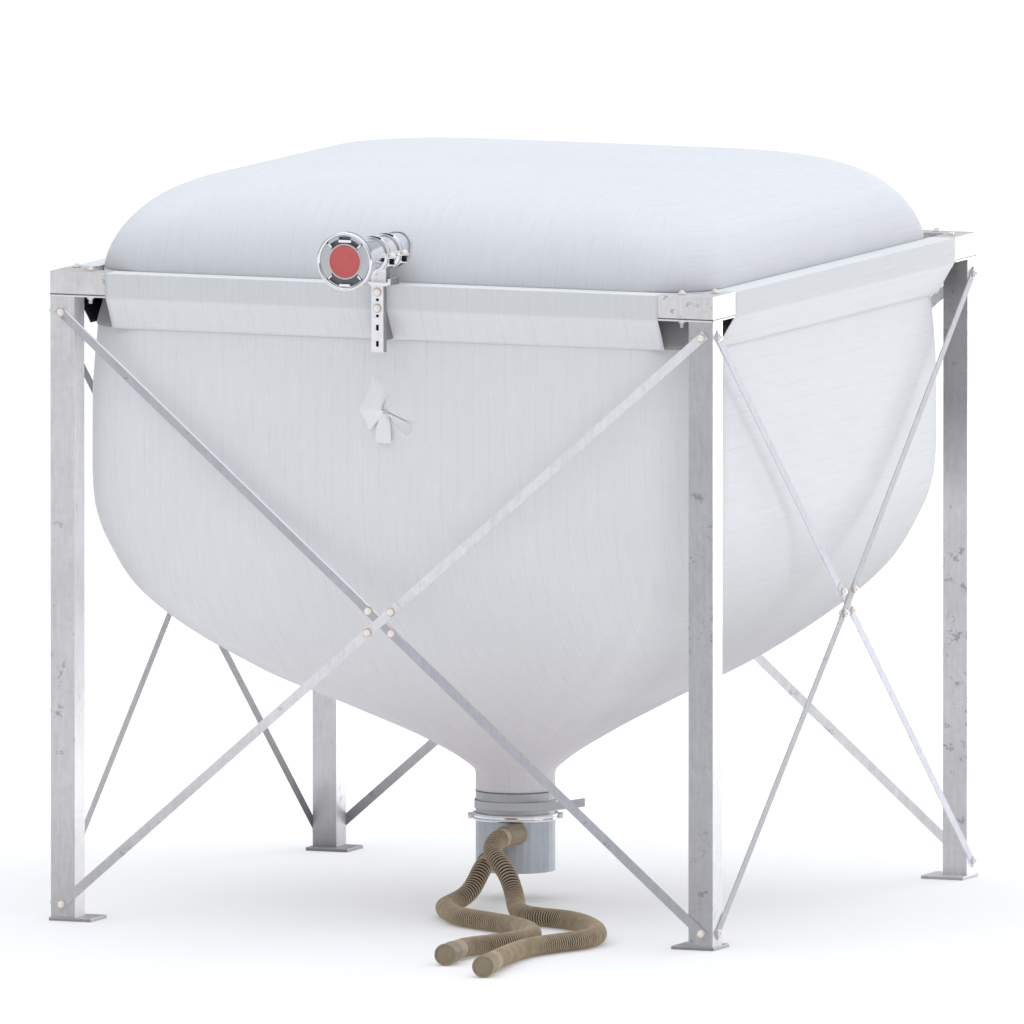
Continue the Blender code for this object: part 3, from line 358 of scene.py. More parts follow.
# Finishes of the model's own steel, each post and strap in a tone of its own that paints light and shade on
# it, some with painted shade by level: its nodes, the material's name, its tone and its settings
FINISHES_AND_SHADE = (
    (("bracket_", "beam_"), "galvanised", (0.745, 0.725, 0.715), dict(painted_side_light=1.30)),
    ("leg_front_left", "left_post", (0.695, 0.680, 0.680), dict(painted_side_light=1.42, shaded=(0, 0.45, 0.80, 1))),
    ("leg_front_right", "near_post", (0.52, 0.515, 0.525), dict(metallic=0.88, painted_side_light=1.45)),
    (
        "leg_back_right", "back_right_post", (0.71, 0.69, 0.70),
        dict(painted_side_light=1.35, shaded=(1.15, 1.5, 1.03, 0.55)),
    ),
    (
        "leg_back_left", "back_left_post", (0.71, 0.70, 0.705),
        dict(stain=0.9, painted_side_light=1.40, shaded=(0.05, 0.24, 0.55, 1)),
    ),
    ("brace_front_inner", "violet_strap", (0.52, 0.515, 0.555), dict(metallic=0.7, painted_edge_highlight=(0.6536, 0.7568))),
    (
        ("brace_right_outer", "brace_left_inner"), "grey_strap", (0.52, 0.52, 0.525),
        dict(stain=0.4, metallic=0.2, roughness=0.6),
    ),
    (
        "brace_right_inner", "lilac_strap", (0.75, 0.755, 0.81),
        dict(stain=0.4, metallic=0.15, roughness=0.6, shaded=(0.9, 1.1, 1, 0.86)),
    ),
    ("brace_back_outer", "pale_strap", (0.92, 0.92, 0.92), dict(stain=0.3, metallic=0.2, roughness=0.6)),
    (
        "brace_back_inner", "dim_strap", (0.78, 0.78, 0.79),
        dict(metallic=0.3, roughness=0.6, shaded=(0.1, 0.5, 0.35, 1)),
    ),
    (
        "brace_left_outer", "dull_strap", (0.38, 0.38, 0.385),
        dict(metallic=0.3, roughness=0.6, shaded=(0.1, 0.6, 0.5, 1)),
    ),
    ("outlet_collar", "collar_sheet", (0.46, 0.485, 0.525), dict(stain=0.2, grain=(1, 1, 0.04))),
)


# Mesh tools


def running(points):
    """How far along a line of points each of them lies."""
    return np.concatenate(([0], np.cumsum(np.linalg.norm(np.diff(points, axis=0), axis=1))))


def smoothstep(low, high, value):
    t = min(max((value - low) / (high - low), 0), 1)
    return t * t * (3 - 2 * t)


def turned(degrees, axis="Z"):
    return Matrix.Rotation(math.radians(degrees), 4, axis)


def aligned(out, spot):
    """The matrix that carries +Z to a direction and the origin to a spot."""
    return Matrix.Translation(spot) @ Vector(out).to_track_quat("Z", "Y").to_matrix().to_4x4()


def moved(mesh, *matrices):
    """A mesh after one or more moves."""
    for matrix in matrices:
        mesh.transform(matrix)
    return mesh


def to_mesh(built):
    mesh = bpy.data.meshes.new("mesh")
    built.to_mesh(mesh)
    built.free()
    return mesh


def joined(meshes):
    """One bmesh from several meshes, each of which is used up."""
    built = bmesh.new()
    for mesh in meshes:
        built.from_mesh(mesh)
        bpy.data.meshes.remove(mesh)
    return built


def merged(meshes):
    return to_mesh(joined(meshes))


def grid_mesh(points, uvs, closed=False):
    """A mesh over rows and columns of points, with UVs in metres.

    A closed grid joins its last column to its first, and its UVs have one column more than its points.
    """
    points = np.asarray(points, float)
    rows, columns = points.shape[:2]
    across = columns if closed else columns - 1
    r, c = (part.ravel() for part in np.meshgrid(np.arange(rows - 1), np.arange(across), indexing="ij"))
    d = (c + 1) % columns
    faces = np.column_stack((r * columns + c, (r + 1) * columns + c, (r + 1) * columns + d, r * columns + d))
    corner_rows = np.column_stack((r, r + 1, r + 1, r))
    corner_columns = np.column_stack((c, c, c + 1, c + 1))
    mesh = bpy.data.meshes.new("grid")
    mesh.from_pydata(points.reshape(-1, 3).tolist(), [], faces.tolist())
    layer = mesh.uv_layers.new(name="metres")
    layer.data.foreach_set("uv", np.asarray(uvs, float)[corner_rows, corner_columns].ravel())
    mesh.shade_smooth()
    mesh.update()
    return mesh


def lathe(outline, steps=96):
    """A ring round the Z axis through (radius, height) points, given clockwise from the outer top."""
    angles = np.linspace(0, 2 * math.pi, steps, endpoint=False)
    radii, heights = np.array(outline, float).T[:, :, None]
    points = np.stack(np.broadcast_arrays(radii * np.cos(angles), radii * np.sin(angles), heights), axis=2)
    around = np.linspace(0, 2 * math.pi, steps + 1) * radii.max()
    mesh = grid_mesh(points, np.stack(np.meshgrid(around, running(outline)), axis=2), closed=True)
    mesh.set_sharp_from_angle(angle=SHARP_ANGLE)
    return mesh


def rounded(outline, size, closed=True):
    """An outline of (radius, height) points with each of its corners cut round."""
    points = [Vector(point) for point in outline]
    made = []
    count = len(points)
    for i, point in enumerate(points):
        if not closed and i in (0, count - 1):
            made.append(point)
            continue
        before = points[i - 1] - point
        after = points[(i + 1) % count] - point
        reach = min(size, before.length * 0.45, after.length * 0.45)
        start = point + before.normalized() * reach
        end = point + after.normalized() * reach
        for t in (0, 0.25, 0.5, 0.75, 1):
            made.append(start * (1 - t) ** 2 + point * 2 * t * (1 - t) + end * t * t)
    return [tuple(point) for point in made] + ([tuple(made[0])] if closed else [])


def block(low, high, bevel=0.0008):
    """A box with softened edges."""
    built = bmesh.new()
    middle = (Vector(low) + Vector(high)) / 2
    size = Vector(high) - Vector(low)
    bmesh.ops.create_cube(built, size=1, matrix=Matrix.Translation(middle) @ Matrix.Diagonal((*size, 1)))
    bmesh.ops.bevel(built, geom=built.edges[:], offset=bevel, segments=2, affect="EDGES", profile=0.6)
    return to_mesh(built)


def prism(built, radius, low, height, sides):
    """Adds an upright prism on a regular polygon to a bmesh."""
    middle = Matrix.Translation((0, 0, low + height / 2))
    return bmesh.ops.create_cone(
        built, cap_ends=True, segments=sides, radius1=radius, radius2=radius, depth=height, matrix=middle
    )


def push(mesh, depth):
    """Moves each point of a mesh along its normal by what a function of its place gives."""
    mesh.update()
    moves = [vertex.normal * depth(vertex.co) for vertex in mesh.vertices]
    for vertex, move in zip(mesh.vertices, moves, strict=True):
        vertex.co += move
    mesh.update()


def linked(name, data):
    """A new object, put in the scene."""
    made = bpy.data.objects.new(name, data)
    bpy.context.scene.collection.objects.link(made)
    return made


def piece(name, mesh, material, slot, *nodes):
    """A piece of the dressed model, moved from the bag's axis to its place; the imported nodes it stands for
    are hidden.
    """
    mesh.name = name
    mesh.transform(Matrix.Translation((0, AXIS_Y, 0)))
    mesh.materials.append(material)
    made = linked(name, mesh)
    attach(made, "root")
    if nodes:
        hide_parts(*nodes)
    return made


def apply_modifiers(made):
    depsgraph = bpy.context.evaluated_depsgraph_get()
    mesh = bpy.data.meshes.new_from_object(made.evaluated_get(depsgraph), depsgraph=depsgraph)
    made.modifiers.clear()
    made.data = mesh


def thicken(made, thickness, offset=-1, inside_shade=None):
    """Gives an open sheet its thickness for good, and its inside a material of its own if one is given, for
    the sleeves a painted shade.
    """
    solid = made.modifiers.new("thickness", "SOLIDIFY")
    solid.thickness = thickness
    solid.offset = offset
    if inside_shade:
        made.data.materials.append(inside_shade)
        solid.material_offset = 1
    apply_modifiers(made)


# Materials


class Nodes:
    """A node graph that is built with short calls."""

    def __init__(self, owner):
        owner.use_nodes = True
        self.tree = owner.node_tree

    def add(self, kind, inputs=None, out=0, **settings):
        node = self.tree.nodes.new("ShaderNode" + kind)
        for key, value in settings.items():
            setattr(node, key, value)
        for key, value in (inputs or {}).items():
            self.feed(node.inputs[key], value)
        return node.outputs[out]

    def feed(self, socket, value):
        if isinstance(value, bpy.types.NodeSocket):
            self.tree.links.new(value, socket)
        else:
            socket.default_value = value

    def math(self, operation, *values):
        """The result of an operation, which goes on from left to right over more than two values."""
        result = self.add("Math", dict(enumerate(values[:2])), operation=operation)
        for value in values[2:]:
            result = self.add("Math", {0: result, 1: value}, operation=operation)
        return result

    def split(self, vector):
        """The three parts of a vector."""
        node = self.tree.nodes.new("ShaderNodeSeparateXYZ")
        self.feed(node.inputs[0], vector)
        return node.outputs[:]

    def noise(self, vector, scale, detail=2.0, roughness=0.5):
        """Noise of one scale, or of three where it is drawn out."""
        if isinstance(scale, tuple):
            vector = self.add("Mapping", {"Vector": vector, "Scale": scale})
            scale = 1.0
        inputs = {"Vector": vector, "Scale": scale, "Detail": detail, "Roughness": roughness}
        return self.add("TexNoise", inputs)

    def ramp(self, value, low, high, low_to=0.0, high_to=1.0):
        """A value between two limits, spread over another range and held at its ends."""
        inputs = {"Value": value, "From Min": low, "From Max": high, "To Min": low_to, "To Max": high_to}
        return self.add("MapRange", inputs)

    def vary(self, value, low=0.0, high=1.0):
        """A noise spread over a range."""
        return self.ramp(value, *NOISE_RANGE, low, high)

    def mix(self, share, first, second, **settings):
        """Colours mixed by a share. Each is a socket or three numbers."""
        inputs = {0: share}
        for index, colour in ((6, first), (7, second)):
            inputs[index] = (*colour, 1) if isinstance(colour, tuple) else colour
        return self.add("Mix", inputs, out=2, data_type="RGBA", **settings)


class Surface(Nodes):
    """A Principled material."""

    def __init__(self, name, roughness=0.5, metallic=0.0, **sockets):
        self.material = bpy.data.materials.new(name)
        super().__init__(self.material)
        self.shader = self.tree.nodes["Principled BSDF"]
        self.shader.inputs["Roughness"].default_value = roughness
        self.shader.inputs["Metallic"].default_value = metallic
        for key, value in sockets.items():
            self.shader.inputs[key.replace("_", " ")].default_value = value
        self.place = self.add("TexCoord", out="Object")
        self.flat = self.add("TexCoord", out="UV")

    def facing(self):
        """How far each point's surface faces sideways, to either side, and how far it faces up."""
        parts = self.split(self.add("TexCoord", out="Normal"))
        return self.math("ABSOLUTE", parts[0]), parts[2]

    def shade(self, colour, value):
        """A colour made lighter or darker by a value round 1."""
        grey = self.add("CombineColor", {"Red": value, "Green": value, "Blue": value})
        return self.mix(1.0, colour, grey, blend_type="MULTIPLY")

    def bump(self, height, distance, strength=0.3, normal=None):
        inputs = {"Height": height, "Distance": distance, "Strength": strength}
        if normal is not None:
            inputs["Normal"] = normal
        return self.add("Bump", inputs)

    def finish(self, colour, roughness=None, normal=None):
        for key, value in (("Base Color", colour), ("Roughness", roughness), ("Normal", normal)):
            if value is not None:
                self.feed(self.shader.inputs[key], value)
        return self.material


def galvanised(
    name, tone, stain=0.5, grain=(1, 1, 0.15), roughness=0.42, metallic=0.55, painted_side_light=1.0,
    shaded=(0, 1, 1, 1), painted_edge_highlight=None,
):
    """Zinc-coated steel: faint crystals, cloudy patches, drawn grain and dark bluish scuffs.

    The side factor paints light and shade on the faces to the left and right: how light they are. The shading
    is
    painted shade: two levels and how light the steel is at each. The edge is a painted highlight: the
    direction across a strap to its edge that is painted bright, where the edge would catch the light.
    """
    steel = Surface(name, metallic=metallic)
    cloud = steel.noise(steel.place, 5.0, 3.0)
    crystal = steel.add("TexVoronoi", {"Vector": steel.place, "Scale": 55.0}, out="Color")
    crystal = steel.ramp(steel.add("SeparateColor", {"Color": crystal}), 0, 1, -0.03, 0.03)
    drawn = steel.noise(steel.place, tuple(90 * share for share in grain), 3.0)
    light = steel.math("ADD", steel.vary(cloud, 0.93, 1.05), crystal, steel.vary(drawn, -0.05, 0.05))
    sideways, _ = steel.facing()
    level = steel.split(steel.place)[2]
    # Painted light and shade: side faces made lighter or darker, and the steel lighter or darker by level;
    # the foot plates are darker
    light = steel.math(
        "MULTIPLY",
        light,
        steel.ramp(sideways, *SIDE_FACES, 1.0, painted_side_light),
        steel.ramp(level, *shaded),
        steel.ramp(level, FOOT_PLATE_LOW, FOOT_PLATE_HIGH, FOOT_PLATE_LIGHT, 1.0),
    )
    blotch = steel.noise(steel.place, 24.0, 7.0, 0.72)
    limit = steel.ramp(steel.noise(steel.place, (3.0, 3.0, 2.2)), 0.35, 0.65, 0.68, 0.56)
    scuff = steel.math(
        "MULTIPLY",
        steel.ramp(steel.math("SUBTRACT", blotch, limit), 0.0, 0.05),
        stain,
        steel.ramp(sideways, *SIDE_FACES, 1.0, SCUFF_ON_FLANKS),
    )
    colour = steel.mix(scuff, steel.shade(tone, light), SCUFF_TONE)
    # A painted highlight along a strap's upper edge, where its edge would catch the light
    if painted_edge_highlight is not None:
        inputs = {0: steel.place, 1: (painted_edge_highlight[0], 0, painted_edge_highlight[1])}
        across = steel.add("VectorMath", inputs, out="Value", operation="DOT_PRODUCT")
        start = painted_edge_highlight[1] * (BRACE_LOW + BRACE_HIGH) / 2 + STRAP_WIDTH / 2 - EDGE_HIGHLIGHT_WIDTH
        edge = steel.ramp(across, start, start + EDGE_HIGHLIGHT_SOFT)
        colour = steel.mix(steel.math("MULTIPLY", edge, steel.ramp(level, *EDGE_HIGHLIGHT_FROM)), colour, EDGE_HIGHLIGHT_TONE)
    rough = steel.vary(cloud, roughness - 0.06, roughness + 0.08)
    return steel.finish(colour, rough, steel.bump(drawn, 0.0006, 0.25))


def polished(name, tone=(0.86, 0.87, 0.89), roughness=0.10):
    """Bright plated steel with fine turning marks and a few smears."""
    steel = Surface(name, metallic=1.0)
    turned_marks = steel.noise(steel.flat, (6.0, 900.0, 1.0))
    smear = steel.noise(steel.place, 14.0, 4.0, 0.6)
    rough = steel.ramp(smear, 0.35, 0.75, roughness, roughness + 0.10)
    colour = steel.shade(tone, steel.ramp(smear, 0.3, 0.8, 1.0, 0.93))
    return steel.finish(colour, rough, steel.bump(turned_marks, 0.0002, 0.2))


def brushed(name, tone, roughness):
    """Brushed sheet steel, its grain along the first UV direction."""
    steel = Surface(name, metallic=0.95)
    grain = steel.noise(steel.flat, (4.0, 700.0, 1.0), 4.0, 0.6)
    cloud = steel.noise(steel.place, 9.0, 3.0)
    light = steel.math("MULTIPLY", steel.ramp(grain, 0.25, 0.75, 0.88, 1.08), steel.vary(cloud, 0.94, 1.05))
    rough = steel.vary(grain, roughness - 0.05, roughness + 0.08)
    return steel.finish(steel.shade(tone, light), rough, steel.bump(grain, 0.0003))


def line_mask(cloth, along, pitch, width):
    """1 on thin lines a pitch apart, and 0 between them."""
    phase = cloth.math("FRACT", cloth.math("DIVIDE", along, pitch))
    middle = cloth.math("ABSOLUTE", cloth.math("SUBTRACT", phase, 0.5))
    return cloth.ramp(middle, 0.5 * width / pitch, width / pitch, 1.0, 0.0)


def bag_fabric(
    name, tone=(0.80, 0.811, 0.814), threads=1.0, low=0, high=1, cast=(1, 1, 1), painted_side_light=1.0, painted_top_light=1.0
):
    """Woven antistatic fabric: dark conductive threads, pale dashes across them and a fine weave.

    Its tone has a cast of painted light and shade below a low level, which fades out towards a high one. Two
    factors paint light and shade: one on the hopper's faces to the left and right, and one on faces that look
    up.
    """
    cloth = Surface(name, roughness=0.78, Specular_IOR_Level=0.25)
    u, v, _ = cloth.split(cloth.flat)
    dash = cloth.ramp(cloth.noise(cloth.flat, (19.0, 55.0, 1.0), 3.0), 0.40, 0.56)
    thread = cloth.math("MULTIPLY", line_mask(cloth, u, WARP_PITCH, WARP_WIDTH), dash)
    broken = cloth.ramp(cloth.noise(cloth.flat, (48.0, 20.0, 1.0), 3.0), 0.46, 0.60)
    cross = cloth.math("MULTIPLY", line_mask(cloth, v, WEFT_PITCH, WEFT_WIDTH), broken)
    streak = cloth.noise(cloth.flat, (120.0, 7.0, 1.0), 3.0, 0.6)
    cloud = cloth.noise(cloth.place, 2.2, 3.0)
    light = cloth.math("ADD", cloth.vary(streak, 0.974, 1.022), cloth.vary(cloud, -0.012, 0.012))
    light = cloth.math("SUBTRACT", light, cloth.math("MULTIPLY", thread, WARP_DARK * threads))
    light = cloth.math("ADD", light, cloth.math("MULTIPLY", cross, WEFT_LIGHT * threads))
    level = cloth.split(cloth.place)[2]
    sideways, upward = cloth.facing()
    sideways = cloth.math(
        "MULTIPLY",
        cloth.ramp(sideways, 0.2, 0.6),
        cloth.ramp(level, 0.42, 0.60),
        cloth.ramp(level, 0.85, 1.30, 1.0, 0.0),
    )
    # Painted shade on the low hopper's sides, and painted light on faces that look up
    light = cloth.math(
        "MULTIPLY", light, cloth.ramp(sideways, 0, 1, 1.0, painted_side_light), cloth.ramp(upward, 0.5, 0.9, 1.0, painted_top_light)
    )
    # Below the low level the tone takes a cast of painted light and shade
    below = tuple(part * share for part, share in zip(tone, cast, strict=True))
    colour = cloth.shade(cloth.mix(cloth.ramp(level, low, high), below, tone), light)
    waves = [cloth.math("SINE", cloth.math("MULTIPLY", along, 2 * math.pi / WEAVE_PITCH)) for along in (u, v)]
    soft = cloth.noise(cloth.place, (5.0, 5.0, 2.6), 4.0, 0.55)
    normal = cloth.bump(cloth.math("MULTIPLY", *waves), 0.0003, 0.25, cloth.bump(soft, 0.006))
    return cloth.finish(colour, None, normal)


def hose_rubber(name):
    """Tan ribbed hose: pale dusty ribs with painted shade, very dark in patches, in the grooves between them.
    The first UV runs along the hose.
    """
    hose = Surface(name, roughness=0.62, Specular_IOR_Level=0.35)
    phase = hose.math("FRACT", hose.math("DIVIDE", hose.split(hose.flat)[0], RIB_PITCH))
    off_crest = hose.math("ABSOLUTE", hose.math("SUBTRACT", phase, 0.5))
    crest = hose.ramp(off_crest, RIB_FLAT, RIB_FLAT + RIB_SLOPE, 1.0, 0.0)
    dust = hose.noise(hose.place, 28.0, 4.0, 0.6)
    patch = hose.noise(hose.place, 5.5, 1.0)
    # Painted shade in the grooves between the ribs
    gap_shade = hose.mix(hose.ramp(patch, 0.64, 0.80), *GAP_SHADE_TONES)
    colour = hose.mix(crest, gap_shade, hose.mix(hose.vary(dust), *RIB_TONES))
    return hose.finish(colour, hose.vary(dust, 0.5, 0.72), hose.bump(dust, 0.0005))


def moulded(name, tone, roughness):
    """Moulded rubber or plastic with a fine grain and slight wear."""
    plastic = Surface(name)
    grain = plastic.noise(plastic.place, 420.0, 3.0, 0.6)
    wear = plastic.noise(plastic.place, 35.0, 4.0, 0.6)
    light = plastic.math("ADD", plastic.vary(grain, 0.94, 1.06), plastic.vary(wear, -0.05, 0.05))
    rough = plastic.vary(wear, roughness - 0.06, roughness + 0.08)
    return plastic.finish(plastic.shade(tone, light), rough, plastic.bump(grain, 0.0003))


def zinc_bolts(name, first=(0.99, 0.90, 0.81), second=(0.98, 0.96, 0.92)):
    """Yellow passivated zinc, pale and a little pink."""
    zinc = Surface(name, metallic=0.40)
    cloud = zinc.noise(zinc.place, 60.0, 4.0, 0.6)
    colour = zinc.mix(zinc.vary(cloud), first, second)
    return zinc.finish(colour, zinc.vary(cloud, 0.26, 0.42), zinc.bump(cloud, 0.0003))


# Camera, lights and floor


def make_camera():
    """A camera at the photograph's own angle, so far off that its view is a parallel one."""
    turn, rise = math.radians(AZIMUTH), math.radians(ELEVATION)
    right = Vector((math.cos(turn), math.sin(turn), 0))
    back = Vector((math.sin(turn) * math.cos(rise), -math.cos(turn) * math.cos(rise), math.sin(rise)))
    data = bpy.data.cameras.new("camera")
    data.lens = LENS
    data.sensor_width = SENSOR
    distance = VIEW_WIDTH * LENS / SENSOR
    data.clip_start = distance * 0.3
    data.clip_end = distance * 4
    camera = linked("camera", data)
    camera.location = Vector((0, AXIS_Y, AIM_HEIGHT)) - right * AIM_LEFT + back * distance
    camera.rotation_euler = back.to_track_quat("Z", "Y").to_euler()
    bpy.context.scene.camera = camera


def make_softbox(name, spot, target, size, power):
    data = bpy.data.lights.new(name, "AREA")
    data.shape = "RECTANGLE"
    data.size, data.size_y = size
    data.energy = power
    lamp = linked(name, data)
    lamp.location = spot
    lamp.rotation_euler = (Vector(spot) - Vector(target)).to_track_quat("Z", "Y").to_euler()


def make_world():
    """A pale dome, grey at the sides, and bluer and much brighter overhead."""
    world = bpy.data.worlds.new("studio")
    bpy.context.scene.world = world
    sky = Nodes(world)
    above = sky.math("MAXIMUM", sky.split(sky.add("TexCoord", out="Generated"))[2], 0)
    tint = sky.mix(sky.math("POWER", above, 2), WORLD_LOW, WORLD_HIGH)
    sky.feed(sky.tree.nodes["Background"].inputs["Color"], tint)


def make_floor():
    """A pale floor that runs out of the picture on all sides, and glows a little where it is far off."""
    built = bmesh.new()
    bmesh.ops.create_circle(built, cap_ends=True, segments=64, radius=FLOOR_RADIUS)
    floor = linked("floor", to_mesh(built))
    floor.location = (0, AXIS_Y, FLOOR_DROP)
    pale = Surface("floor", roughness=0.9, Emission_Color=GLOW_TINT, Specular_IOR_Level=0.1)
    cloud = pale.noise(pale.place, 0.7)
    away = pale.add("VectorMath", {0: pale.place}, out="Value", operation="LENGTH")
    pale.feed(pale.shader.inputs["Emission Strength"], pale.ramp(away, *GLOW_REACH, *GLOW))
    floor.data.materials.append(pale.finish(pale.shade(FLOOR_TONE, pale.vary(cloud, 0.99, 1.01))))


# Hoses


def smooth_line(route, spacing):
    """Evenly spaced points on the smooth curve that a route's points steer, ends included."""
    steer = np.array(route)
    steer = np.vstack((2 * steer[0] - steer[1], steer, 2 * steer[-1] - steer[-2]))
    fine = []
    for i in range(len(route) - 1):
        for t in np.linspace(0, 1, 20, endpoint=False):
            weights = ((1 - t) ** 3, 3 * t**3 - 6 * t**2 + 4, -3 * t**3 + 3 * t**2 + 3 * t + 1, t**3)
            fine.append(np.array(weights) @ steer[i : i + 4] / 6)
    fine = np.array([*fine, route[-1]])
    lengths = running(fine)
    stops = np.linspace(0, lengths[-1], round(lengths[-1] / spacing) + 1)
    return np.column_stack([np.interp(stops, lengths, fine[:, k]) for k in range(3)])


def tube_mesh(line, radii, sides):
    """A tube of varying radius along a line. Its first UV is the distance along it."""
    tangents = np.gradient(line, axis=0)
    tangents /= np.linalg.norm(tangents, axis=1)[:, None]
    side = np.cross(tangents[0], (0, 0, 1))
    rings = []
    angles = np.linspace(0, 2 * math.pi, sides, endpoint=False)
    for spot, along, radius in zip(line, tangents, radii, strict=True):
        side = side - along * (side @ along)
        side /= np.linalg.norm(side)
        up = np.cross(side, along)
        rings.append(spot + radius * (np.outer(np.cos(angles), side) + np.outer(np.sin(angles), up)))
    around = np.linspace(0, 2 * math.pi * HOSE_RADIUS, sides + 1)
    uvs = np.stack(np.meshgrid(running(line), around, indexing="ij"), axis=2)
    return grid_mesh(rings, uvs, closed=True)


def make_hose(name, cad_name, route, rubber, cuff_rubber):
    """A ribbed suction hose from its stub on the collar to the cuff at its free end."""
    line = smooth_line(route, RIB_SPACING)
    index = np.arange(len(line))
    pitch = np.interp(index * RIB_SPACING, RIB_STRETCH_ENDS, (RIB_STRETCHED, RIB_PITCH))
    turns = np.cumsum(RIB_SPACING / pitch)
    first = round(SMOOTH_START / RIB_STRETCHED) + 0.5
    last = round(turns[-1] - SMOOTH_END / RIB_PITCH) + 0.5
    turns = np.clip(turns, first, last)
    before = line[np.clip(index - BEND_REACH, 0, None)]
    after = line[np.clip(index + BEND_REACH, None, len(line) - 1)]
    bend = np.linalg.norm((before + after) / 2 - line, axis=1)
    loose = 1 - BEND_SQUEEZE * np.clip((bend - BEND_SLIGHT) / (BEND_SHARP - BEND_SLIGHT), 0, 1)
    turns = np.floor(turns) + 0.5 + (turns % 1 - 0.5) * loose
    radii = HOSE_RADIUS - RIB_DEPTH * np.clip((np.abs(turns % 1 - 0.5) - RIB_FLAT) / RIB_SLOPE, 0, 1)
    mesh = tube_mesh(line, radii, HOSE_SIDES)
    layer = mesh.uv_layers["metres"]
    uvs = np.zeros(2 * len(layer.data))
    layer.data.foreach_get("uv", uvs)
    spacing = np.linalg.norm(line[1] - line[0])
    uvs[::2] = np.interp(uvs[::2], index * spacing, turns * RIB_PITCH)
    layer.data.foreach_set("uv", uvs)
    hose = piece(name, mesh, rubber, "hose", cad_name)
    start = Vector(line[0])
    out = Vector(line[-1] - line[-2]).normalized()
    for part, outline, bevel, along, spot, nodes in (
        ("_socket", SOCKET_OUTLINE, 0.0015, Vector(line[1]) - start, start, ()),
        ("_cuff", CUFF_OUTLINE, 0.002, out, Vector(line[-1]) + out * CLEAR, (cad_name + "_cuff",)),
    ):
        mesh = moved(lathe(rounded(outline, bevel), CUFF_SIDES), aligned(along, spot))
        piece(name + part, mesh, cuff_rubber, "cuff", *nodes)
    shift = np.array((0, AXIS_Y, 0))
    [tuple(point) for point in smooth_line(route, PATH_SPACING) + shift]


# Bag


def bag_half(height):
    """Half width of the bag at a height, on a smooth curve through its profile's points."""
    heights, halves = np.array(BAG_PROFILE)[::-1].T
    slopes = np.diff(halves) / np.diff(heights)
    tangents = np.zeros(len(halves))
    for i, (a, b) in enumerate(zip(slopes[:-1], slopes[1:], strict=True), 1):
        tangents[i] = 2 * a * b / (a + b) if a * b > 0 else 0
    i = int(np.clip(np.searchsorted(heights, height) - 1, 0, len(slopes) - 1))
    span = heights[i + 1] - heights[i]
    t = (height - heights[i]) / span
    return (
        (1 + 2 * t) * (1 - t) ** 2 * halves[i]
        + t * (1 - t) ** 2 * span * tangents[i]
        + t * t * (3 - 2 * t) * halves[i + 1]
        + t * t * (t - 1) * span * tangents[i + 1]
    )


def corner_radius(half):
    """The bag's corners stay round to the neck, where its section is a circle."""
    share = max(0, half - NECK_RADIUS) / (WIDEST_HALF - NECK_RADIUS)
    return min(half, NECK_RADIUS + (CORNER_RADIUS - NECK_RADIUS) * math.sqrt(share))


def side_section(half, radius):
    """The front side of a rounded square between two corner middles: points, and how far along each lies."""
    flat = half - radius
    reach = flat + radius * math.pi / 4
    along = np.linspace(-reach, reach, SIDE_STEPS + 1)
    bend = np.clip(np.abs(along) - flat, 0, None) / max(radius, 1e-9)
    x = np.sign(along) * (np.minimum(np.abs(along), flat) + radius * np.sin(bend))
    return np.column_stack((x, -flat - radius * np.cos(bend))), along


def four_sides(rows, wrinkle):
    """A wrinkled shell from rows of (half width, corner radius, height), each side with its own UVs.

    The weave's first direction is level on the front and back and upright on the right and left.
    """
    runs = running([(half, height) for half, _, height in rows])
    meshes = []
    for index in range(4):
        points, uvs = [], []
        for (half, radius, height), run in zip(rows, runs, strict=True):
            flat_points, along = side_section(half, radius * CORNER_SHARE)
            points.append(np.column_stack((flat_points, np.full(len(along), height))))
            uv = (along, np.full(len(along), run))
            uvs.append(np.column_stack(uv if index % 2 == 0 else uv[::-1]))
        meshes.append(moved(grid_mesh(points, uvs), turned(90 * index)))
    built = joined(meshes)
    bmesh.ops.remove_doubles(built, verts=built.verts[:], dist=1e-5)
    mesh = to_mesh(built)
    push(mesh, wrinkle)
    mesh.shade_smooth()
    return mesh


def bag_wrinkle(co, fold_heights, fold_halves):
    """Slack in the hanging bag: broad hollows, upright flutes, gathers above the neck and one corner fold."""
    broad = noise.noise(co * 1.7 + Vector((3.1, 0.4, 7.7)))
    flute = noise.noise(Vector((co.x * 7, co.y * 7, co.z * 1.6)))
    depth = HOLLOW_DEPTH * (broad - 0.6) + FLUTE_DEPTH * (flute - 0.6)
    turn = math.atan2(co.y, co.x)
    gather = math.sin(GATHERS * turn + 5 * noise.noise(Vector((turn * 2, 0, co.z * 3))))
    near_neck = smoothstep(0.95, 0.50, co.z) * (0.35 + 0.65 * smoothstep(0.40, 0.52, co.z))
    depth += GATHER_DEPTH * (gather - 1) * near_neck
    depth *= 0.35 + 0.65 * smoothstep(0.40, 0.60, co.z)
    if co.x > 0 > co.y and FOLD_LOW < co.z < FOLD_HIGH:
        half = np.interp(co.z, fold_heights, fold_halves)
        past = co.x - (half - corner_radius(half)) - FOLD_INSET
        held = smoothstep(FOLD_LOW, 0.85, co.z) * smoothstep(FOLD_HIGH, 1.20, co.z)
        depth -= FOLD_DEPTH * held * math.exp(-((past / FOLD_WIDTH) ** 2))
    return depth * (1 - 0.8 * smoothstep(1.80, 1.90, co.z))


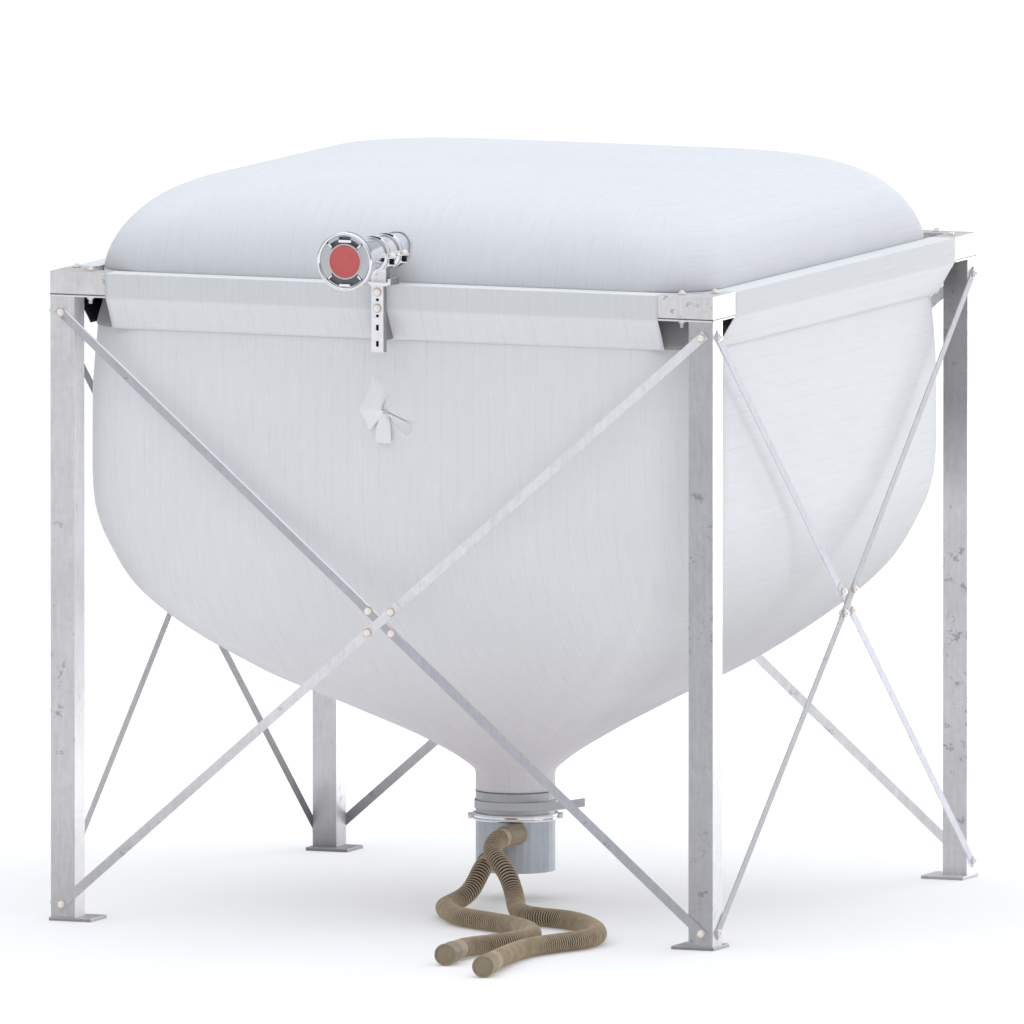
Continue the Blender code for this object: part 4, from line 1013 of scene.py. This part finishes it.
def make_bag(cloth, hem):
    """Walls, hopper and neck as one sewn shell."""
    spans = ((ROOF_BASE, 1.80, 12), (1.80, 0.90, 46), (0.90, 0.395, 40), (0.395, NECK_BOTTOM, 5))
    heights = [ROOF_BASE]
    for high, low, count in spans:
        heights += list(np.linspace(high, low, count)[1:])
    halves = [bag_half(height) for height in heights]
    rows = [(half, corner_radius(half), height) for half, height in zip(halves, heights, strict=True)]
    fold_heights = np.linspace(0.55, 1.50, 40)
    fold_halves = [bag_half(height) for height in fold_heights]
    mesh = four_sides(rows, lambda co: bag_wrinkle(co, fold_heights, fold_halves))
    nodes = ["wall_" + side for side in SIDES] + ["hopper_" + side for side in SIDES] + ["neck"]
    thicken(piece("bag_body", mesh, cloth, "bag_fabric", *nodes), FABRIC_THICKNESS)
    low = NECK_BOTTOM + CLEAR
    outline = [(NECK_RADIUS, low + HEM), (NECK_RADIUS, low), (NECK_RADIUS - 0.003, low)]
    piece("neck_hem", lathe(rounded(outline, 0.001, closed=False), 128), hem, "bag_fabric")


def roof_wrinkle(co):
    """The blown-up roof is taut, with faint puckers where it comes down to the frame."""
    rim = smoothstep(2.16, 2.02, co.z)
    along = co.x if abs(co.y) > abs(co.x) else co.y
    pucker = noise.noise(Vector((along * 16, co.z * 3, math.copysign(4, co.x + 2 * co.y))))
    broad = noise.noise(co * 2.1 + Vector((9.2, 1.3, 0)))
    return TAUT_DEPTH * (broad - 0.6) * (1 - rim) + PUCKER_DEPTH * (pucker - 0.7) * rim


def make_roof(cloth):
    """The roof of the bag, with a hole where the fill pipe goes in."""
    base = corner_radius(TOP_HALF) / TOP_HALF
    rows = []
    for share in np.sin(np.radians(np.linspace(0, 90, ROOF_ROWS + 1))):
        rise = ROOF_RISE * (1 - share**ROOF_SQUARENESS) ** ROOF_SHOULDER
        roundness = base + (1 - base) * (1 - share) ** ROOF_ROUNDING
        half = share * TOP_HALF
        rows.append((half, half * roundness, ROOF_BASE + rise))
    roof = piece("bag_roof", four_sides(rows, roof_wrinkle), cloth, "bag_fabric", "roof")
    thicken(roof, FABRIC_THICKNESS)
    built = joined([lathe([(PIPE_HOLE_RADIUS, PIPE_HOLE_HALF), (PIPE_HOLE_RADIUS, -PIPE_HOLE_HALF)], 64)])
    bmesh.ops.holes_fill(built, edges=built.edges[:])
    bmesh.ops.recalc_face_normals(built, faces=built.faces[:])
    cutter = linked("pipe_hole", to_mesh(built))
    cutter.matrix_world = aligned(FRONT, (0, AXIS_Y - INLET_FACE + PIPE_HOLE_HALF, INLET_HEIGHT))
    cutting = roof.modifiers.new("hole", "BOOLEAN")
    cutting.object = cutter
    cutting.solver = "EXACT"
    bpy.context.view_layer.update()
    apply_modifiers(roof)
    bpy.data.objects.remove(cutter)


def sleeve_wrinkle(co):
    """Slight waves along a sleeve, most on its slope, and none where it lies on the beam."""
    slope = smoothstep(SLEEVE_FACE_LOW, SLEEVE_FACE_LOW - 0.05, co.z)
    wave = noise.noise(Vector((co.x * 4.5, co.z * 5, 2.5)))
    hem = smoothstep(SLEEVE_SLOPE_LOW, SLEEVE_SLOPE_LOW + 0.02, co.z)
    return -SLEEVE_WAVE * slope * (0.5 + 0.5 * wave) * hem


def make_sleeves(cloth, inside_shade):
    """The fabric sleeve over each beam, its inside painted dark as shade, its lower edge hemmed against the
    wall.
    """
    outer = FRAME_HALF + CLEAR
    corners = (
        (TOP_HALF - SLEEVE_TUCK, SLEEVE_TOP),
        (outer, SLEEVE_TOP),
        (outer, SLEEVE_FACE_LOW),
        (SLEEVE_SLOPE_IN, SLEEVE_SLOPE_LOW),
    )
    outline = rounded(corners, SLEEVE_BEND, closed=False)
    fine = []
    for first, second in zip(outline[:-1], outline[1:], strict=True):
        count = max(1, round(math.dist(first, second) / SLEEVE_ROW))
        fine += [np.array(first) + (np.array(second) - first) * i / count for i in range(count)]
    fine.append(np.array(outline[-1]))
    run = running(fine)
    end = FRAME_HALF - BRACKET_ARM - CLEAR
    xs = np.linspace(-end, end, 120)
    for index, side in enumerate(SIDES):
        points = [[(x, -spot[0], spot[1]) for x in xs] for spot in fine]
        uvs = np.array([[(x, distance) for x in xs] for distance in run])
        mesh = grid_mesh(points, uvs if index % 2 == 0 else uvs[:, :, ::-1])
        push(mesh, sleeve_wrinkle)
        mesh = moved(mesh, turned(90 * index))
        sleeve = piece("beam_sleeve_" + side, mesh, cloth, "bag_fabric", "sleeve_" + side)
        thicken(sleeve, FABRIC_THICKNESS, inside_shade=inside_shade)


def make_painted_corner_shade(corner_shade_cloth):
    """A band of painted shade round each corner of the bag, between the open ends of two sleeves."""
    bands = []
    end = FRAME_HALF - BRACKET_ARM - BAND_OVERLAP
    for index in range(4):
        points, uvs = [], []
        for height in np.linspace(SLEEVE_FACE_LOW - 0.002, SLEEVE_SLOPE_LOW, 9):
            half = bag_half(height)
            radius = corner_radius(half)
            flat = half - radius
            first = math.asin((end - flat) / radius)
            angles = np.linspace(first, math.pi / 2 - first, 17)
            reach = radius + BAND_PROUD
            points.append([(flat + reach * math.sin(a), -flat - reach * math.cos(a), height) for a in angles])
            uvs.append([(radius * a, height) for a in angles])
        bands.append(moved(grid_mesh(points, uvs), turned(90 * index)))
    thicken(piece("painted_corner_shade", merged(bands), corner_shade_cloth, "bag_fabric"), BAND_PROUD)


# Gathered spout on the front wall


def petal(outline, depth, ridge, lifts, pleats, rows=18, columns=41):
    """A folded flap of cloth that fans out from the tie to an outline of (x, z) points on the front wall.

    The lifts are (share of the outline, distance off the wall) points for its edge.
    """
    outline = np.array(outline, float)
    lengths = running(outline)
    stops = np.linspace(0, lengths[-1], columns)
    edge = np.column_stack([np.interp(stops, lengths, outline[:, k]) for k in range(2)])
    across = np.linspace(0, 1, columns)
    start = np.array(SPOUT_TIE) + np.column_stack(((across * 2 - 1) * SPOUT_TIE_HALF, np.zeros(columns)))
    crest = np.clip(1 - np.abs(across - ridge) / np.where(across < ridge, ridge, 1 - ridge), 0, 1)
    lift = np.interp(across, *zip(*lifts, strict=True))
    points, uvs = [], []
    for share in np.linspace(0, 1, rows):
        flat = start + (edge - start) * share
        bulge = depth * math.sin(math.pi * (0.25 + 0.75 * share)) * crest
        fold = SPOUT_PLEAT * math.sqrt(share) * np.sin(2 * math.pi * pleats * across)
        near = SPOUT_TIE_DEPTH * (1 - share) ** 2
        out = bulge + fold + near + lift * share
        points.append([(x, -(bag_half(z) + rise), z) for (x, z), rise in zip(flat, out, strict=True)])
        uvs.append(flat)
    return grid_mesh(points, uvs)


def make_spout(cloth, flap_cloth, cord):
    """The spare spout, tied: a puffed kite and a pleated tail in a lighter tone, as painted light, and two
    flaps in a darker tone of the same cloth, as painted shade.
    """
    mesh = merged([petal(*values) for values in SPOUT_PETALS])
    spout = piece("gathered_spout", mesh, cloth, "bag_fabric", "tied_spout")
    mesh.shade_smooth()
    mesh.materials.append(flap_cloth)
    for face in list(mesh.polygons)[len(mesh.polygons) // 2 :]:
        face.material_index = 1
    thicken(spout, SPOUT_CLOTH, 0)
    x, z = SPOUT_TIE
    place = Matrix.Translation((x, -bag_half(z) - KNOT_OUT, z - KNOT_DROP))
    ring = moved(lathe(rounded(SPOUT_KNOT, 0.002), 32), Matrix.Diagonal(KNOT_SQUASH), place)
    piece("spout_tie", ring, cord, "bag_fabric")


# Bolts and plates


def hex_bolt(spot, out, reach):
    """A washer, a chamfered nut and a threaded stud end over one of the model's plain bolts."""
    built = bmesh.new()
    prism(built, WASHER_RADIUS, 0, WASHER_HEIGHT, 20)
    for face in built.faces:
        face.material_index = 1
    nut = prism(built, NUT_RADIUS, WASHER_HEIGHT, NUT_HEIGHT, 6)
    edges = {edge for vertex in nut["verts"] for edge in vertex.link_edges}
    bmesh.ops.bevel(built, geom=list(edges), offset=NUT_CHAMFER, segments=1, affect="EDGES")
    low = WASHER_HEIGHT + NUT_HEIGHT - 0.0005
    end = reach + STUD_CROWN
    outline = [(0.0001, end), (STUD_RADIUS - STUD_POINT, end)]
    for step in range(int((reach - low) / THREAD_PITCH)):
        top = reach - step * THREAD_PITCH
        outline += [(STUD_RADIUS, top - 0.0003), (STUD_RADIUS - THREAD_DEPTH, top - THREAD_PITCH / 2)]
    outline.append((STUD_RADIUS, low))
    return moved(merged([to_mesh(built), lathe(outline, 12)]), aligned(out, spot))


def small_nut(spot, out):
    """A nut and the end of its bolt, as the lever ring has them."""
    built = bmesh.new()
    for values in RING_NUT:
        prism(built, *values)
    bmesh.ops.bevel(built, geom=built.edges[:], offset=0.0005, segments=1, affect="EDGES")
    return moved(to_mesh(built), aligned(out, spot))


def brace_bolts():
    """Places, directions and reaches of the nuts of the front side's two braces."""
    reach = FRAME_HALF - BRACE_BOLT_INSET
    face = FRAME_HALF + CLEAR
    found = []
    for lean, layer in ((-1, 0), (1, 2 * STRAP_THICKNESS + CLEAR)):
        low = Vector((-lean * reach, BRACE_LOW))
        high = Vector((lean * reach, BRACE_HIGH))
        along = (high - low).normalized()
        for spot in (low, high):
            found.append(((spot.x, -face - STRAP_THICKNESS, spot.y), FRONT, OUTER_STUD))
        for step in (-LAP_BOLT, LAP_BOLT):
            spot = (low + high) / 2 + along * step
            outer = face + layer + 2 * STRAP_THICKNESS
            found.append(((spot.x, -outer, spot.y), FRONT, OUTER_STUD))
            found.append(((spot.x, -face - layer, spot.y), -FRONT, INNER_STUD))
    return found


def make_bolts(zinc, washers):
    """All the nuts: under the head plates, on the brackets, on the braces and on the strut."""
    far = FRAME_HALF - BOLT_FROM_CORNER
    hanging, upper = [], []
    for signs in CORNERS:
        for x, y in ((far, POST_MID), (POST_MID, far)):
            spot = (signs[0] * x, signs[1] * y)
            hanging.append(hex_bolt((*spot, HEAD_PLATE_LOW), (0, 0, -1), HANGING_STUD))
            upper.append(hex_bolt((*spot, BRACKET_TOP), (0, 0, 1), OUTER_STUD))
    groups = [("head_plate_nuts", merged(hanging)), ("bracket_nuts", merged(upper))]
    for index, side in enumerate(SIDES):
        mesh = merged([hex_bolt(*values) for values in brace_bolts()])
        groups.append(("brace_nuts_" + side, moved(mesh, turned(90 * index))))
    strut = [hex_bolt((0, -STRUT_FRONT, height), FRONT, STRUT_STUD) for height in STRUT_BOLTS]
    groups.append(("strut_nuts", merged(strut)))
    for name, mesh in groups:
        piece(name, mesh, zinc, "galvanised").data.materials.append(washers)


def make_plate_edges(dark, bright):
    """The dark joint under each bracket and the bright edge of the head plate below it."""
    inner = FRAME_HALF - BRACKET_ARM
    back = FRAME_HALF - EDGE_DEPTH
    for (name, slot, low, high, proud), material in zip(PLATE_EDGES, (dark, bright), strict=True):
        strips = []
        corner = (FRAME_HALF + proud, FRAME_HALF + proud, high)
        for signs in CORNERS:
            arms = [block(start, corner, EDGE_BEVEL) for start in ((inner, back, low), (back, inner, low))]
            strip = moved(merged(arms), Matrix.Diagonal((*signs, 1, 1)))
            if signs[0] * signs[1] < 0:
                strip.flip_normals()
            strips.append(strip)
        piece(name, merged(strips), material, slot)


def make_strut_parts(dark, steel):
    """A dark block of painted shade inside the channel, seen through its holes, and the lipped plate that
    carries the fill pipe.
    """
    piece("strut_inside_shade", block(*STRUT_SHADE_BOX), dark, "dark_steel")
    piece("strut_saddle", merged([block(*values) for values in STRUT_SADDLE]), steel, "galvanised")


# Fill inlet


def facing_front(mesh):
    """Carries a mesh made round +Z, with distances in front of the bag's axis, to the fill pipe's line."""
    return moved(mesh, turned(90, "X"), Matrix.Translation((0, 0, INLET_HEIGHT)))


def sector(inner, outer, low, high, start, end, steps=12):
    """A closed slice of a ring between two angles in degrees, from one distance to another."""
    built = bmesh.new()
    grid = []
    for angle in np.radians(np.linspace(start, end, steps + 1)):
        ring = ((inner, low), (outer, low), (outer, high), (inner, high))
        grid.append([built.verts.new((r * math.cos(angle), r * math.sin(angle), z)) for r, z in ring])
    for first, second in zip(grid[:-1], grid[1:], strict=True):
        for i in range(4):
            j = (i + 1) % 4
            built.faces.new((first[i], first[j], second[j], second[i]))
    built.faces.new(grid[0][::-1])
    built.faces.new(grid[-1])
    bmesh.ops.recalc_face_normals(built, faces=built.faces[:])
    sharp = [edge for edge in built.edges if edge.calc_face_angle(0) > 0.8]
    bmesh.ops.bevel(built, geom=sharp, offset=0.0006, segments=1, affect="EDGES")
    return to_mesh(built)


def make_coupling(chrome, plate, dark, red, seal):
    """The claw coupling: a rim, two grey claws with slots between them, four catches, and the red cap."""
    back = INLET_FACE - 0.026
    bed = INLET_FACE - 0.018
    face = INLET_FACE - 0.006
    outer = COUPLING_RADIUS - RIM_WIDTH
    rim = [
        (COUPLING_RADIUS, back),
        (PIPE_RADIUS, back),
        (PIPE_RADIUS, back + RIM_FLOOR),
        (outer, back + RIM_FLOOR),
        (outer, face),
    ]
    for angle in np.radians(np.linspace(180, 0, 13)):
        across = COUPLING_RADIUS - RIM_WIDTH / 2 + RIM_WIDTH / 2 * math.cos(angle)
        rim.append((across, face + (INLET_FACE - face) * math.sin(angle)))
    rim.append(rim[0])
    claws = [
        sector(inner, outer - 0.0001, bed, face - drop, start, end, steps)
        for inner, drop, start, end, steps in CLAWS
    ]
    catches = [
        moved(block((left, low, bed), (right, high, face + proud)), turned(degrees))
        for left, low, right, high, proud, degrees in CATCHES
    ]
    ring = [(SEAL_RADIUS, face + 0.001), (SEAL_RADIUS, bed), (CAP_RADIUS, bed), (CAP_RADIUS, face + 0.001)]
    dish = [(radius, face - sunk) for radius, sunk in CAP_DISH]
    for name, mesh, material, slot, *nodes in (
        ("coupling_rim", lathe(rim, 128), chrome, "polished_steel", "inlet_coupling"),
        ("coupling_claws", merged(claws), plate, "ring_steel"),
        ("coupling_well", lathe([(outer - 0.0001, bed), (SEAL_RADIUS - 0.001, bed)]), dark, "dark_steel"),
        ("coupling_catches", merged(catches), chrome, "polished_steel"),
        ("coupling_seal", lathe(rounded(ring, 0.001)), seal, "ring_steel"),
        ("closing_cap", lathe(dish), red, "red_cap", "inlet_cap"),
    ):
        piece(name, facing_front(mesh), material, slot, *nodes)


def make_fill_pipe(chrome, steel, zinc, dark):
    """The flared neck and the pipe, with two bolted band clamps."""
    front = INLET_FACE - 0.0263
    bore = PIPE_RADIUS - PIPE_WALL
    outline = [(radius, front - behind) for radius, behind in PIPE_FLARE]
    outline += [(PIPE_RADIUS, PIPE_END + 0.005), (bore, PIPE_END), (bore, front)]
    pipe = lathe(rounded(outline, 0.0015), 128)
    piece("fill_pipe", facing_front(pipe), chrome, "polished_steel", "inlet_pipe")
    for number, middle in enumerate(CLAMP_PLACES, 1):
        make_tube_clamp(str(number), middle, steel, zinc, dark)


def make_tube_clamp(number, middle, steel, zinc, dark):
    """A band round the fill pipe, with two ears and the bolt through them, and painted shade as a dark strip
    across the band's top and a dark block between the ears.
    """
    low, high = middle - CLAMP_HALF, middle + CLAMP_HALF
    bore, waist, edge = PIPE_RADIUS + CLEAR, PIPE_RADIUS + 0.0030, PIPE_RADIUS + 0.0045
    band = [
        (edge, high), (edge, high - 0.003), (waist, high - 0.004), (waist, low + 0.004),
        (edge, low + 0.003), (edge, low), (bore, low), (bore, high), (edge, high),
    ]
    parts = [facing_front(lathe(band))]
    inside, outside = PIPE_RADIUS + 0.002, PIPE_RADIUS + 0.0245
    for drop in EARS:
        corner = (inside, 0.002 - high, INLET_HEIGHT + drop)
        parts.append(block(corner, (outside, -0.002 - low, INLET_HEIGHT + drop + EAR_THICKNESS)))
    clamp = merged(parts)
    clamp.set_sharp_from_angle(angle=SHARP_ANGLE)
    piece("tube_clamp_" + number, clamp, steel, "ring_steel", "inlet_clamp_" + number)
    x = PIPE_RADIUS + 0.0143
    top = INLET_HEIGHT - 0.004
    nuts = [
        hex_bolt((x, -middle, top), (0, 0, 1), OUTER_STUD),
        block((x - 0.003, -middle - 0.003, INLET_HEIGHT - 0.03), (x + 0.003, 0.003 - middle, top)),
    ]
    piece("tube_clamp_nuts_" + number, merged(nuts), zinc, "ring_steel")
    # Painted shade: a dark strip across the band's top, and a dark block between the ears
    slot = sector(PIPE_RADIUS + 0.001, PIPE_RADIUS + 0.0056, middle - 0.006, middle + 0.006, 62, 112)
    gap_shade_low = (inside + 0.004, -middle - 0.006, INLET_HEIGHT - 0.0262)
    gap_shade = block(gap_shade_low, (outside - 0.006, 0.006 - middle, INLET_HEIGHT - 0.0078))
    piece("tube_clamp_shade_" + number, merged([facing_front(slot), gap_shade]), dark, "dark_steel")


# Outlet


def make_clamp_ring(chrome, zinc):
    """The lever ring: a V-shaped band with a bolted lug on each side."""
    low, high = RING_MIDDLE - RING_HALF, RING_MIDDLE + RING_HALF
    inner = OUTLET_RADIUS + CLEAR
    outline = [
        (RING_RADIUS - 0.004, high),
        (RING_RADIUS, high - 0.005),
        (RING_RADIUS - 0.002, RING_MIDDLE),
        (RING_RADIUS, low + 0.005),
        (RING_RADIUS - 0.004, low),
        (inner, low),
        (inner, high),
    ]
    parts = [lathe(rounded(outline, 0.002), 160)]
    nuts = []
    reach = RING_RADIUS + LUG_REACH
    for sign in (-1, 1):
        near, far = sorted((sign * (RING_RADIUS - 0.004), sign * reach))
        for y in (-0.016, 0.009):
            lug = block((near, y, RING_MIDDLE - LUG_HALF), (far, y + LUG_THICKNESS, RING_MIDDLE + LUG_HALF))
            parts.append(moved(lug, turned(RING_TURN)))
        for y, out in ((-0.016, (0, -1, 0)), (0.016, (0, 1, 0))):
            nut = small_nut((sign * (reach - 0.005), y, RING_MIDDLE), out)
            nuts.append(moved(nut, turned(RING_TURN)))
    ring = merged(parts)
    ring.set_sharp_from_angle(angle=SHARP_ANGLE)
    piece("lever_ring", ring, chrome, "polished_steel", "clamp_ring")
    piece("lever_ring_nuts", merged(nuts), zinc, "ring_steel")


def make_belt(webbing):
    """A flat belt round the spigot, its free end sticking out to the right."""
    leaves = math.radians(BELT_LEAVES)
    radius = OUTLET_RADIUS + BELT_OUT
    path = [
        (radius * math.cos(angle), radius * math.sin(angle), BELT_LOW)
        for angle in np.linspace(math.radians(BELT_START), leaves + 2 * math.pi, 73)
    ]
    start_x, start_y = path[-1][:2]
    for share in np.linspace(0, 1, 17)[1:]:
        run = BELT_TAIL * share
        lift = BELT_TAIL_BOW * math.sin(math.pi * share)
        x = start_x - run * math.sin(leaves) + lift * math.cos(leaves)
        y = start_y + run * math.cos(leaves) + lift * math.sin(leaves)
        path.append((x, y, BELT_LOW + BELT_TAIL_RISE * share**2))
    path = np.array(path)
    run = running(path)
    levels = np.linspace(BELT_WIDTH, 0, 9)
    points = [path + (0, 0, level) for level in levels]
    uvs = [np.column_stack((run, np.full(len(run), level))) for level in levels]
    belt = piece("neck_belt", grid_mesh(points, uvs), webbing, "bag_fabric", "outlet_belt")
    thicken(belt, BELT_THICKNESS, 1)


# The dressed model


def dress_frame(nodes, material):
    """Gives the carried-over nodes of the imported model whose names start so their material."""
    for name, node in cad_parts.items():
        if name.startswith(nodes):
            node.data.materials.clear()
            node.data.materials.append(material)


bpy.context.scene.view_settings.view_transform = "Standard"
make_camera()
make_world()
for lamp in LAMPS:
    make_softbox(*lamp)
make_floor()

# The bag's cloth in several tones of painted light and shade: darker and purpler low down and on the hopper's
# sides, the sleeves lighter on their slope and top, the spout's kite lighter and its flaps darker, the roof
# darker at its foot
woven = bag_fabric("woven_cloth", low=0.45, high=1.15, cast=(0.968, 0.918, 0.945), painted_side_light=0.78)
sleeve_woven = bag_fabric(
    "sleeve_cloth", (0.705, 0.713, 0.716), low=1.930, high=1.940, cast=(1.125, 1.10, 1.11), painted_top_light=1.16
)
spout_woven = bag_fabric("spout_cloth", (0.875, 0.89, 0.888), 0.5)
flap_woven = bag_fabric("flap_cloth", (0.81, 0.82, 0.82), 0.5, low=1.573, high=1.598, cast=(0.9, 0.9, 0.9))
roof_woven = bag_fabric("roof_cloth", (0.82, 0.83, 0.85), low=2.02, high=2.19, cast=(0.82, 0.82, 0.82))
webbing = bag_fabric("webbing", (0.58, 0.585, 0.60), 0)
hem_cloth = bag_fabric("hem_cloth", (0.20, 0.20, 0.21), 0)
# Very dark cloth round the corners: painted shade, lighter towards its foot
corner_shade_cloth = bag_fabric("corner_shade_fabric", (0.14, 0.135, 0.133), 0, low=1.838, high=1.935, cast=(3, 3, 3))
# Very dark cloth inside the sleeves: painted shade
inside_shade = bag_fabric("sleeve_inside_shade", (0.035, 0.033, 0.036), 0)
rubber = hose_rubber("ribbed_hose")
cuff_rubber = moulded("cuff_rubber", (0.30, 0.24, 0.155), 0.55)
seal = moulded("seal", (0.60, 0.58, 0.57), 0.4)
red = moulded("red_plastic", (0.60, 0.115, 0.115), 0.45)
zinc = zinc_bolts("zinc")
washer_steel = zinc_bolts("washer_zinc", (0.58, 0.47, 0.40), (0.72, 0.64, 0.57))
chrome = polished("chrome")
pipe_chrome = polished("pipe_chrome", (0.95, 0.955, 0.975), 0.07)
bright_band = polished("bright_band", (0.93, 0.93, 0.94), 0.14)
plate = brushed("claw_plate", (0.57, 0.585, 0.60), 0.30)
dark = brushed("dark_plate", (0.16, 0.165, 0.175), 0.40)
# Very dark steel as painted shade inside the channel and at the fill pipe's clamps
shade_black = brushed("channel_shade", (0.03, 0.03, 0.032), 0.7)
# Lighter steel, as painted light, for the front's outer strap and for the strut, with painted shade low on
# the strap and on the strut's sides
strap_steel = galvanised("strap", (0.84, 0.825, 0.835), stain=0.35, shaded=(0.15, 0.75, 0.67, 1.0))
strut_steel = galvanised("strut", (0.98, 0.96, 0.965), stain=0.35, metallic=0.35, painted_side_light=0.34)

make_hose("suction_hose_left", "hose_left", ROUTE_LEFT, rubber, cuff_rubber)
make_hose("suction_hose_right", "hose_right", ROUTE_RIGHT, rubber, cuff_rubber)
make_bag(woven, hem_cloth)
make_roof(roof_woven)
make_sleeves(sleeve_woven, inside_shade)
make_spout(spout_woven, flap_woven, webbing)
make_bolts(zinc, washer_steel)
make_plate_edges(dark, strap_steel)
make_painted_corner_shade(corner_shade_cloth)
make_strut_parts(shade_black, strut_steel)
make_coupling(chrome, plate, dark, red, seal)
make_fill_pipe(pipe_chrome, bright_band, zinc, shade_black)
make_clamp_ring(chrome, zinc)
make_belt(webbing)

for nodes, name, tone, settings in FINISHES_AND_SHADE:
    dress_frame(nodes, galvanised(name, tone, **settings))
dress_frame("brace_front_outer", strap_steel)
dress_frame("inlet_strut", strut_steel)
dress_frame("inlet_gusset", brushed("gusset_plate", (0.34, 0.34, 0.35), 0.45))
dress_frame("outlet_spigot", brushed("spigot_sheet", (0.50, 0.50, 0.515), 0.5))
